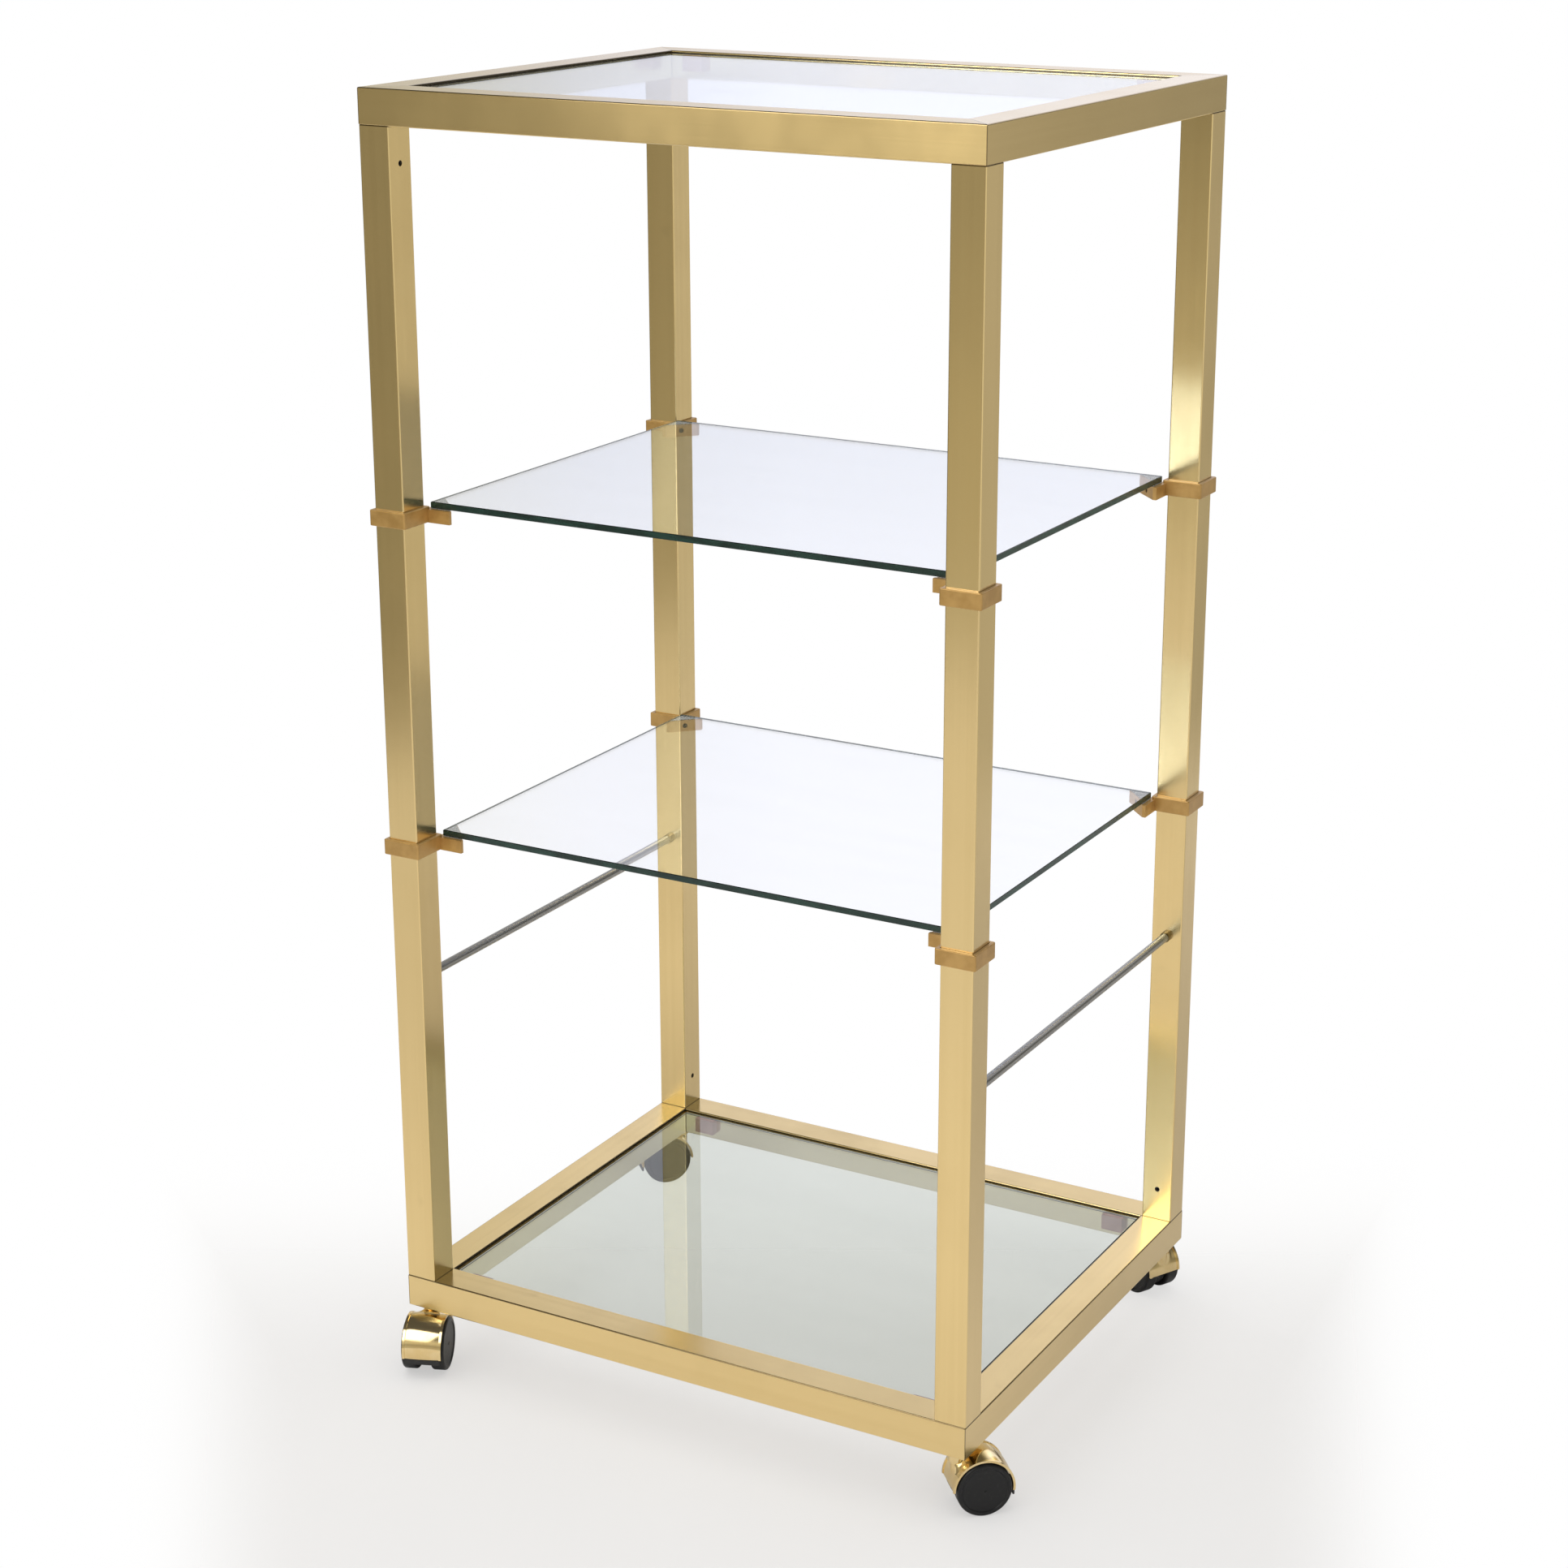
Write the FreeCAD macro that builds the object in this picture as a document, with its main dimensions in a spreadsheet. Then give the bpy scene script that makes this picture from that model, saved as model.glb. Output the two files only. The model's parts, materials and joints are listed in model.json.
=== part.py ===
import FreeCAD, Part
import os
import re
import Sketcher

# Rolling display etagere: a brass tube frame with glass panes and two clamped glass shelves, on casters.
# Millimetres. Front is -Y, right is +X, up is +Z, and the origin is the floor centre.

DIMENSIONS = {
    # tube frame
    "width": 600,
    "depth": 492,
    "tube_side": 32,
    "tube_wall": 1.5,
    "tube_round": 1.2,
    "post_side": 31,
    "post_wall": 1.5,
    "post_round": 1.2,
    "post_length": 1094,
    # joints inside the tubes
    "insert_clearance": 0.1,
    "corner_pin_diameter": 10,
    "corner_pin_clearance": 0.05,
    "corner_pin_gap": 3,
    "plug_length": 44,
    "screw_diameter": 5,
    "screw_clearance": 0.1,
    "screw_setback": 32.5,
    "post_screw_length": 8,
    "screw_recess": 0.8,
    "socket_width": 2.5,
    "socket_depth": 2.5,
    # glass panes in the frames
    "glass_thickness": 6,
    "glass_bevel": 0.6,
    "pane_gap": 2,
    "pane_recess": 2.5,
    "tab_width": 22,
    "tab_reach": 8,
    "tab_height": 15.5,
    "tab_corner_gap": 17,
    # clamped shelves, measured from the top of the base frame
    "lower_shelf_rise": 443.3,
    "upper_shelf_rise": 754,
    "shelf_edge_gap": 0.3,
    "collar_clearance": 0.3,
    "collar_wall": 3.6,
    "collar_height": 14.5,
    "collar_round": 2,
    "collar_edge_round": 0.9,
    "lug_leg": 27,
    "lug_end": 3.4,
    "lug_step": 2.5,
    "pad_thickness": 0.5,
    "pad_margin": 1,
    # side rods
    "rod_diameter": 6.4,
    "rod_rise": 303.6,
    "rod_insert": 6,
    "rod_clearance": 0.1,
    "ferrule_wall": 1.8,
    "ferrule_length": 6,
    "ferrule_round": 1.2,
    # caster wheels
    "wheel_diameter": 51,
    "wheel_width": 13.9,
    "wheel_spacing": 14,
    "wheel_edge_round": 2.2,
    "wheel_rim": 4,
    "wheel_dish": 0.7,
    "wheel_mark_diameter": 3,
    "wheel_mark_depth": 0.4,
    "wheel_cap": 3,
    "axle_diameter": 6,
    "axle_end_gap": 0.2,
    "running_clearance": 0.03,
    "wheel_side_gap": 0.6,
    # caster hood and chassis
    "axle_drop": 33,
    "trail": 20.5,
    "hood_gap": 1.2,
    "hood_wall": 1.2,
    "hood_inset": 1.9,
    "hood_skirt": 4,
    "lip_height": 0.8,
    "lip_width": 2.4,
    "slot_width": 19,
    "slot_depth": 25,
    "slot_reach": 1,
    "boss_diameter": 17,
    "boss_height": 7,
    "neck_reach": 9.5,
    "neck_depth": 26,
    "chassis_gap": 0.1,
    "web_radius": 21,
    "bar_width": 34,
    "bar_height": 5,
    "bar_wall": 1.6,
    "bar_gap": 0.3,
    # caster stem
    "kingpin_diameter": 8,
    "kingpin_end_gap": 0.6,
    "flange_diameter": 16,
    "flange_thickness": 2.4,
    "swivel_gap": 0.3,
    # headings the casters stand at
    "swivel_angle_front_left": -68,
    "swivel_angle_front_right": 43,
    "swivel_angle_back_right": 153,
    "swivel_angle_back_left": 227,
    # how far every cut runs past what it cuts
    "cut_overrun": 5,
}

# Sizes that follow from the dimensions
BASE_BOTTOM = "(wheel_diameter / 2 + axle_drop)"
BASE_TOP = f"({BASE_BOTTOM} + tube_side)"
TOP_BOTTOM = f"({BASE_TOP} + post_length)"
POST_X = "(width / 2 - post_side / 2)"
POST_Y = "(depth / 2 - post_side / 2)"
COLLAR_HALF = "(post_side / 2 + collar_clearance + collar_wall)"
SHELF_HALF_X = f"({POST_X} - {COLLAR_HALF} - shelf_edge_gap)"
SHELF_HALF_Y = f"({POST_Y} - {COLLAR_HALF} - shelf_edge_gap)"
LUG_TOP = "(collar_height - lug_step)"
SCREW_BORE = "(screw_diameter / 2 + screw_clearance)"
CORNER_BORE = "(corner_pin_diameter / 2 + corner_pin_clearance)"
CORNER_PIN_LENGTH = "(tube_side / 2 - corner_pin_gap / 2)"
LUG_FACE = "((post_side + lug_leg + lug_end) / sqrt(2))"
POST_EDGE = "(post_side / sqrt(2) - post_round * (sqrt(2) - 1))"
WHEEL_RADIUS = "(wheel_diameter / 2)"
WHEEL_OUTSIDE = "(wheel_spacing / 2 + wheel_width)"
AXLE_HALF = f"({WHEEL_OUTSIDE} - wheel_cap)"
WEB_WIDTH = "(wheel_spacing - 2 * wheel_side_gap)"
HOOD_INSIDE = f"({WHEEL_RADIUS} + hood_gap)"
HOOD_OUTSIDE = f"({HOOD_INSIDE} + hood_wall)"
HOOD_LIP = f"({HOOD_OUTSIDE} + lip_height)"
HOOD_WIDTH = f"(2 * ({WHEEL_OUTSIDE} - hood_inset))"
HOOD_REACH = f"({HOOD_LIP} + trail + cut_overrun)"
BOSS_TOP = "(flange_thickness + swivel_gap)"

# Corners in turn, with the signs of x and y and the quarter turns from the first
CORNERS = {
    "front_left": (-1, -1, 0),
    "front_right": (1, -1, 1),
    "back_right": (1, 1, 2),
    "back_left": (-1, 1, 3),
}

doc = FreeCAD.newDocument("etagere")
sheet = doc.addObject("Spreadsheet::Sheet", "dims")
for row, (alias, value) in enumerate(DIMENSIONS.items(), start=1):
    sheet.set(f"A{row}", alias)
    sheet.set(f"B{row}", str(value))
    sheet.setAlias(f"B{row}", alias)
doc.recompute()

nodes = []


def formula(text):
    """The text with every dimension name pointed at its cell."""
    return re.sub(r"[a-z_]{4,}", lambda m: f"dims.{m[0]}" if m[0] in DIMENSIONS else m[0], text)


def size(text):
    """The number a formula comes to now."""
    return float(sheet.evalExpression(formula(text)))


def bind(thing, prop, text):
    """Drives one property by a formula of the dimensions."""
    thing.setExpression(prop, formula(text))


def place(thing, x="0", y="0", z="0", turn="0"):
    """Stands a piece at a point, turned about the vertical by an angle in degrees."""
    thing.Placement = FreeCAD.Placement(FreeCAD.Vector(), FreeCAD.Rotation(FreeCAD.Vector(0, 0, 1), 1))
    bind(thing, "Placement.Base.x", x)
    bind(thing, "Placement.Base.y", y)
    bind(thing, "Placement.Base.z", z)
    bind(thing, "Placement.Rotation.Angle", turn)


def new_body(label):
    """An empty body."""
    return doc.addObject("PartDesign::Body", label)


def new_sketch(body, role, lift="0"):
    """A sketch on one of the body's own origin planes, lifted along its normal."""
    plane = next(item for item in body.Origin.OriginFeatures if item.Role == role)
    sketch = body.newObject("Sketcher::SketchObject", "sketch")
    sketch.AttachmentSupport = [(plane, "")]
    sketch.MapMode = "FlatFace"
    bind(sketch, "AttachmentOffset.Base.z", lift)
    return sketch


def hold(sketch, geometry, point, axis, text):
    """Fixes one coordinate of a sketch point to a formula."""
    if size(text) == 0:
        sketch.addConstraint(Sketcher.Constraint("PointOnObject", geometry, point, -2 if axis == "X" else -1))
        return
    found = sketch.addConstraint(Sketcher.Constraint(f"Distance{axis}", -1, 1, geometry, point, size(text)))
    bind(sketch, f"Constraints[{found}]", text)


def add_outline(sketch, points):
    """Straight lines closed through points given as pairs of formulas."""
    spots = [FreeCAD.Vector(size(x), size(y), 0) for x, y in points]
    first = len(sketch.Geometry)
    count = len(spots)
    for k in range(count):
        sketch.addGeometry(Part.LineSegment(spots[k], spots[(k + 1) % count]))
    for k in range(count):
        sketch.addConstraint(Sketcher.Constraint("Coincident", first + k, 2, first + (k + 1) % count, 1))
    for k, (x, y) in enumerate(points):
        hold(sketch, first + k, 1, "X", x)
        hold(sketch, first + k, 1, "Y", y)


def add_rectangle(sketch, left, bottom, right, top):
    """A rectangle between four edges."""
    add_outline(sketch, [(left, bottom), (right, bottom), (right, top), (left, top)])


def add_square(sketch, half):
    """A square about the sketch origin."""
    add_rectangle(sketch, f"-{half}", f"-{half}", half, half)


def add_circle(sketch, radius, x="0", y="0"):
    """A circle about a point."""
    centre = FreeCAD.Vector(size(x), size(y), 0)
    ring = sketch.addGeometry(Part.Circle(centre, FreeCAD.Vector(0, 0, 1), size(radius)))
    hold(sketch, ring, 3, "X", x)
    hold(sketch, ring, 3, "Y", y)
    found = sketch.addConstraint(Sketcher.Constraint("Radius", ring, size(radius)))
    bind(sketch, f"Constraints[{found}]", radius)


def pad(body, sketch, length, both=False):
    """Raises a sketch along its normal, or equally to both sides."""
    feature = body.newObject("PartDesign::Pad", "pad")
    feature.Profile = sketch
    feature.Midplane = both
    bind(feature, "Length", length)
    doc.recompute()
    return feature


def pocket(body, sketch, depth=None, both=False, reverse=False):
    """Cuts a sketch to a depth, or through everything, and makes sure that it cut."""
    before = body.Shape.Volume
    feature = body.newObject("PartDesign::Pocket", "pocket")
    feature.Profile = sketch
    feature.Midplane = both
    feature.Reversed = reverse
    if depth:
        bind(feature, "Length", depth)
    else:
        feature.Type = "ThroughAll"
    doc.recompute()
    if not body.Shape.Volume < before:
        raise RuntimeError(f"a pocket of {body.Label} cut nothing")
    return feature


def revolve(body, sketch, axis):
    """Turns a sketch a full circle about one of its own axes."""
    feature = body.newObject("PartDesign::Revolution", "revolution")
    feature.Profile = sketch
    feature.ReferenceAxis = (sketch, [axis])
    feature.Angle = 360
    doc.recompute()
    return feature


def dress(body, kind, prop, amount, chosen):
    """Fillets or chamfers the edges of the body that a test chooses."""
    base = body.Tip
    edges = [f"Edge{k}" for k, edge in enumerate(base.Shape.Edges, start=1) if chosen(edge)]
    feature = body.newObject(f"PartDesign::{kind}", kind.lower())
    feature.Base = (base, edges)
    bind(feature, prop, amount)
    doc.recompute()
    return feature


def near(value, text):
    """Whether a measured length is the one a formula gives."""
    return abs(value - size(text)) < 1e-6


def flat_at(edge, text):
    """Whether an edge lies level at a height."""
    return near(edge.BoundBox.ZMin, text) and near(edge.BoundBox.ZMax, text)


def round_at(edge, radius):
    """Whether an edge is a circle of a radius."""
    return isinstance(edge.Curve, Part.Circle) and near(edge.Curve.Radius, radius)


def bore(body, role, radius, start, x, y, depth):
    """A round hole that starts at a distance along the plane's positive axis and runs back along it."""
    backwards = role == "XZ_Plane"
    sketch = new_sketch(body, role, f"-({start})" if backwards else start)
    add_circle(sketch, radius, x, y)
    return pocket(body, sketch, depth, reverse=backwards)


def group(label, members):
    """One node out of several loose pieces."""
    node = doc.addObject("Part::Compound", label)
    node.Links = members
    nodes.append(node)


def aim(thing, x, y, z, yaw):
    """Stands a piece at a point with its own z axis level, pointing along a compass yaw in degrees."""
    turn = FreeCAD.Rotation(FreeCAD.Vector(0, 0, 1), yaw)
    pointing = turn.multVec(FreeCAD.Vector(1, 0, 0))
    thing.Placement = FreeCAD.Placement(FreeCAD.Vector(), FreeCAD.Rotation(FreeCAD.Vector(0, 0, 1), pointing))
    bind(thing, "Placement.Base.x", x)
    bind(thing, "Placement.Base.y", y)
    bind(thing, "Placement.Base.z", z)


# Rails


def build_rail(label, length, x, y, z, turn, holes_above):
    """Hollow tube with its outer face on local y = 0, padded both ways along x and mitred at 45 degrees."""
    body = new_body(label)
    section = new_sketch(body, "YZ_Plane")
    add_rectangle(section, "0", "0", "tube_side", "tube_side")
    pad(body, section, length, both=True)
    dress(body, "Fillet", "Radius", "tube_round", lambda edge: near(edge.Length, length))
    hollow = new_sketch(body, "YZ_Plane")
    add_rectangle(hollow, "tube_wall", "tube_wall", "tube_side - tube_wall", "tube_side - tube_wall")
    pocket(body, hollow, both=True)
    mitre = new_sketch(body, "XY_Plane")
    for sign in ("-", ""):
        tip = f"{sign}({length} / 2 + cut_overrun)"
        heel = f"{sign}({length} / 2 - tube_side - cut_overrun)"
        inside = "tube_side + cut_overrun"
        add_outline(mitre, [(tip, "-cut_overrun"), (tip, inside), (heel, inside)])
    pocket(body, mitre, both=True)
    start = "tube_side + cut_overrun" if holes_above else "tube_side / 2"
    for sign in ("-", ""):
        across = f"{sign}({length} / 2 - post_side / 2)"
        bore(body, "XY_Plane", CORNER_BORE, start, across, "post_side / 2", "tube_side + 2 * cut_overrun")
    place(body, x, y, z, turn)
    nodes.append(body)


for frame, level, holes_above in (("base", BASE_BOTTOM, True), ("top", TOP_BOTTOM, False)):
    build_rail(f"{frame}_rail_front", "width", "0", "-depth / 2", level, "0", holes_above)
    build_rail(f"{frame}_rail_right", "depth", "width / 2", "0", level, "90", holes_above)
    build_rail(f"{frame}_rail_back", "width", "0", "depth / 2", level, "180", holes_above)
    build_rail(f"{frame}_rail_left", "depth", "-width / 2", "0", level, "270", holes_above)


# Blocks in the mitred corners


def build_block(label, corner, level):
    """Square block drawn from the frame's outer corner, bored for the pins that enter it."""
    sign_x, sign_y, quarter = CORNERS[corner]
    body = new_body(label)
    skin = "(tube_wall + insert_clearance)"
    section = new_sketch(body, "XY_Plane", skin)
    add_rectangle(section, skin, skin, f"tube_side - {skin}", f"tube_side - {skin}")
    add_circle(section, CORNER_BORE, "post_side / 2", "post_side / 2")
    pad(body, section, f"tube_side - 2 * {skin}")
    place(body, f"{sign_x} * width / 2", f"{sign_y} * depth / 2", level, str(90 * quarter))
    return body


for frame, level in (("base", BASE_BOTTOM), ("top", TOP_BOTTOM)):
    group(f"{frame}_corner_blocks", [build_block(f"{frame}_block_{c}", c, level) for c in CORNERS])


# Posts


def build_post(label, corner):
    """Hollow post with a screw hole near each end on neighbouring faces, and a hole for the side rod."""
    sign_x, sign_y, quarter = CORNERS[corner]
    body = new_body(label)
    section = new_sketch(body, "XY_Plane")
    add_square(section, "(post_side / 2)")
    pad(body, section, "post_length")
    dress(body, "Fillet", "Radius", "post_round", lambda edge: near(edge.Length, "post_length"))
    hollow = new_sketch(body, "XY_Plane")
    add_square(hollow, "(post_side / 2 - post_wall)")
    pocket(body, hollow, both=True)
    start = "post_side / 2 + cut_overrun"
    depth = "post_wall + 2 * cut_overrun"
    rod_plane = "YZ_Plane" if quarter % 2 else "XZ_Plane"
    bore(body, "YZ_Plane", SCREW_BORE, start, "0", "post_length - screw_setback", depth)
    bore(body, "XZ_Plane", SCREW_BORE, start, "0", "screw_setback", depth)
    bore(body, rod_plane, "rod_diameter / 2 + rod_clearance", start, "0", "rod_rise", depth)
    place(body, f"{sign_x} * {POST_X}", f"{sign_y} * {POST_Y}", BASE_TOP, str(90 * quarter))
    nodes.append(body)


for corner in CORNERS:
    build_post(f"post_{corner}", corner)


# Plugs in the post ends


def build_plug(label, corner, at_top):
    """Square plug inside the post end with a round spigot that runs on into the corner block."""
    sign_x, sign_y, quarter = CORNERS[corner]
    body = new_body(label)
    section = new_sketch(body, "XY_Plane")
    add_square(section, "(post_side / 2 - post_wall - insert_clearance)")
    pad(body, section, "plug_length").Reversed = at_top
    spigot = new_sketch(body, "XY_Plane")
    add_circle(spigot, "corner_pin_diameter / 2")
    pad(body, spigot, CORNER_PIN_LENGTH).Reversed = not at_top
    doc.recompute()
    start = "post_side / 2 + cut_overrun"
    depth = "cut_overrun + screw_recess + post_screw_length + screw_clearance"
    role = "YZ_Plane" if at_top else "XZ_Plane"
    height = "-screw_setback" if at_top else "screw_setback"
    bore(body, role, SCREW_BORE, start, "0", height, depth)
    level = TOP_BOTTOM if at_top else BASE_TOP
    place(body, f"{sign_x} * {POST_X}", f"{sign_y} * {POST_Y}", level, str(90 * quarter))
    return body


group("post_base_plugs", [build_plug(f"base_plug_{c}", c, False) for c in CORNERS])
group("post_top_plugs", [build_plug(f"top_plug_{c}", c, True) for c in CORNERS])


# Grub screws


def build_screw(label, length):
    """Headless screw along its own z axis with its outer end at the origin and a hexagon socket in it."""
    shank = doc.addObject("Part::Cylinder", "shank")
    bind(shank, "Radius", "screw_diameter / 2")
    bind(shank, "Height", length)
    bind(shank, "Placement.Base.z", f"-({length})")
    socket = doc.addObject("Part::Prism", "socket")
    socket.Polygon = 6
    bind(socket, "Circumradius", "socket_width / sqrt(3)")
    bind(socket, "Height", "socket_depth + cut_overrun")
    bind(socket, "Placement.Base.z", "-socket_depth")
    screw = doc.addObject("Part::Cut", label)
    screw.Base = shank
    screw.Tool = socket
    return screw


def post_screw(label, corner, at_top):
    """Screw in one end of a post, a little below the post face."""
    sign_x, sign_y, quarter = CORNERS[corner]
    yaw = 90 * quarter if at_top else 90 * quarter + 90
    out = "(post_side / 2 - screw_recess)"
    level = f"{TOP_BOTTOM} - screw_setback" if at_top else f"{BASE_TOP} + screw_setback"
    screw = build_screw(label, "post_screw_length")
    across = f"{sign_x} * {POST_X} + cos({yaw}) * {out}"
    along = f"{sign_y} * {POST_Y} + sin({yaw}) * {out}"
    aim(screw, across, along, level, yaw)
    return screw


post_screws = [post_screw(f"post_base_screw_{c}", c, False) for c in CORNERS]
post_screws += [post_screw(f"post_top_screw_{c}", c, True) for c in CORNERS]
group("post_set_screws", post_screws)


# Glass


def build_pane(label, half_x, half_y, level):
    """Flat pane with ground edges."""
    body = new_body(label)
    section = new_sketch(body, "XY_Plane")
    add_rectangle(section, f"-{half_x}", f"-{half_y}", half_x, half_y)
    pad(body, section, "glass_thickness")
    rim = lambda edge: flat_at(edge, "0") or flat_at(edge, "glass_thickness")
    dress(body, "Chamfer", "Size", "glass_bevel", rim)
    place(body, z=level)
    nodes.append(body)


PANE_HALF_X = "(width / 2 - tube_side - pane_gap)"
PANE_HALF_Y = "(depth / 2 - tube_side - pane_gap)"
PANE_LEVEL = "tube_side - pane_recess - glass_thickness"
build_pane("base_glass", PANE_HALF_X, PANE_HALF_Y, f"{BASE_BOTTOM} + {PANE_LEVEL}")
build_pane("top_glass", PANE_HALF_X, PANE_HALF_Y, f"{TOP_BOTTOM} + {PANE_LEVEL}")
build_pane("lower_shelf_glass", SHELF_HALF_X, SHELF_HALF_Y, f"{BASE_TOP} + lower_shelf_rise")
build_pane("upper_shelf_glass", SHELF_HALF_X, SHELF_HALF_Y, f"{BASE_TOP} + upper_shelf_rise")


# Rests under the frame panes


def build_tab(label, corner, level):
    """Block on the inner wall of the front or back rail, with the pane lying on its top."""
    sign_x, sign_y, quarter = CORNERS[corner]
    tab = doc.addObject("Part::Box", label)
    bind(tab, "Length", "tab_width")
    bind(tab, "Width", "tab_reach")
    bind(tab, "Height", "tab_height")
    left = f"{sign_x} * (width / 2 - tube_side - tab_corner_gap - tab_width / 2) - tab_width / 2"
    front = f"{sign_y} * (depth / 2 - tube_side - tab_reach / 2) - tab_reach / 2"
    bind(tab, "Placement.Base.x", left)
    bind(tab, "Placement.Base.y", front)
    bind(tab, "Placement.Base.z", f"{level} + {PANE_LEVEL} - tab_height")
    return tab


for frame, level in (("base", BASE_BOTTOM), ("top", TOP_BOTTOM)):
    group(f"{frame}_glass_tabs", [build_tab(f"{frame}_tab_{c}", c, level) for c in CORNERS])


# Shelf clamps


def build_clamp(label, corner, rise):
    """Square collar round the post with a triangular lug under the shelf corner, bored for its screw."""
    sign_x, sign_y, quarter = CORNERS[corner]
    body = new_body(label)
    collar = new_sketch(body, "XY_Plane")
    add_square(collar, COLLAR_HALF)
    pad(body, collar, "collar_height")
    dress(body, "Fillet", "Radius", "collar_round", lambda edge: near(edge.Length, "collar_height"))
    rims = lambda edge: flat_at(edge, "0") or flat_at(edge, "collar_height")
    dress(body, "Fillet", "Radius", "collar_edge_round", rims)
    lug = new_sketch(body, "XY_Plane")
    inner = "post_side / 2"
    leg = f"{inner} + lug_leg"
    end = f"{inner} + lug_end"
    add_outline(lug, [(inner, inner), (leg, inner), (leg, end), (end, leg), (inner, leg)])
    pad(body, lug, LUG_TOP)
    opening = new_sketch(body, "XY_Plane")
    add_square(opening, "(post_side / 2 + collar_clearance)")
    pocket(body, opening, both=True)
    screw_way = body.newObject("PartDesign::SubtractiveCylinder", "screw_way")
    bind(screw_way, "Radius", SCREW_BORE)
    bind(screw_way, "Height", f"{LUG_FACE} + cut_overrun")
    aim(screw_way, "0", "0", f"{LUG_TOP} / 2", 45)
    place(body, f"{sign_x} * {POST_X}", f"{sign_y} * {POST_Y}", clamp_level(rise), str(90 * quarter))
    nodes.append(body)


def clamp_level(rise):
    """Height of a clamp's underside when the shelf lies on the pads of its lugs."""
    return f"{BASE_TOP} + {rise} - pad_thickness - {LUG_TOP}"


def clamp_screw(label, corner, rise):
    """Screw through a lug along its diagonal, as far as the edge of the post."""
    sign_x, sign_y, quarter = CORNERS[corner]
    yaw = 45 + 90 * quarter
    out = f"({LUG_FACE} - screw_recess)"
    screw = build_screw(label, f"{out} - {POST_EDGE} - collar_clearance")
    across = f"{sign_x} * {POST_X} + cos({yaw}) * {out}"
    along = f"{sign_y} * {POST_Y} + sin({yaw}) * {out}"
    aim(screw, across, along, f"{clamp_level(rise)} + {LUG_TOP} / 2", yaw)
    return screw


def clamp_pad(label, corner, rise):
    """Clear three-cornered pad between a lug and the glass."""
    sign_x, sign_y, quarter = CORNERS[corner]
    body = new_body(label)
    section = new_sketch(body, "XY_Plane")
    inner = f"({COLLAR_HALF} + shelf_edge_gap)"
    leg = f"(post_side + lug_leg + lug_end - {inner} - pad_margin)"
    add_outline(section, [(inner, inner), (leg, inner), (inner, leg)])
    pad(body, section, "pad_thickness")
    level = f"{BASE_TOP} + {rise} - pad_thickness"
    place(body, f"{sign_x} * {POST_X}", f"{sign_y} * {POST_Y}", level, str(90 * quarter))
    return body


for shelf, rise in (("lower", "lower_shelf_rise"), ("upper", "upper_shelf_rise")):
    for corner in CORNERS:
        build_clamp(f"{shelf}_clamp_{corner}", corner, rise)
    group(f"{shelf}_clamp_screws", [clamp_screw(f"{shelf}_clamp_screw_{c}", c, rise) for c in CORNERS])
    group(f"{shelf}_shelf_pads", [clamp_pad(f"{shelf}_pad_{c}", c, rise) for c in CORNERS])


# Side rods


def build_rod(label, sign):
    """Plain rod whose ends run through the walls of the front and back posts."""
    rod = doc.addObject("Part::Cylinder", label)
    bind(rod, "Radius", "rod_diameter / 2")
    bind(rod, "Height", "depth - 2 * post_side + 2 * rod_insert")
    aim(rod, f"{sign} * {POST_X}", "-depth / 2 + post_side - rod_insert", f"{BASE_TOP} + rod_rise", 90)
    nodes.append(rod)


def build_ferrule(label, corner):
    """Domed ring round the rod end, flat against the post."""
    sign_x, sign_y, quarter = CORNERS[corner]
    body = new_body(label)
    section = new_sketch(body, "XZ_Plane")
    inside = "rod_diameter / 2 + rod_clearance"
    outside = f"{inside} + ferrule_wall"
    add_rectangle(section, inside, "0", outside, "ferrule_length")
    revolve(body, section, "V_Axis")
    far_rim = lambda edge: round_at(edge, outside) and near(edge.Curve.Center.z, "ferrule_length")
    dress(body, "Fillet", "Radius", "ferrule_round", far_rim)
    yaw = -90 * sign_y
    aim(body, f"{sign_x} * {POST_X}", f"{sign_y} * (depth / 2 - post_side)", f"{BASE_TOP} + rod_rise", yaw)
    return body


build_rod("left_rod", -1)
build_rod("right_rod", 1)
group("rod_ferrules", [build_ferrule(f"ferrule_{c}", c) for c in CORNERS])


# Casters, drawn with the swivel axis on z, the axle along y and the underside of the frame at z = 0


def place_caster(body, corner):
    """Turns a caster piece to its heading and hangs it under its corner."""
    sign_x, sign_y, quarter = CORNERS[corner]
    place(body, f"{sign_x} * {POST_X}", f"{sign_y} * {POST_Y}", BASE_BOTTOM, f"swivel_angle_{corner}")
    return body


def build_stem(label, corner):
    """Turned stem: a pin up into the corner block, a flange under the rail and a kingpin below."""
    body = new_body(label)
    section = new_sketch(body, "XZ_Plane")
    pin = "corner_pin_diameter / 2"
    flange = "flange_diameter / 2"
    king = "kingpin_diameter / 2"
    tip = "-neck_depth + kingpin_end_gap"
    under = "-flange_thickness"
    add_outline(section, [("0", CORNER_PIN_LENGTH), (pin, CORNER_PIN_LENGTH), (pin, "0"), (flange, "0"),
                          (flange, under), (king, under), (king, tip), ("0", tip)])
    revolve(body, section, "V_Axis")
    return place_caster(body, corner)


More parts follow.
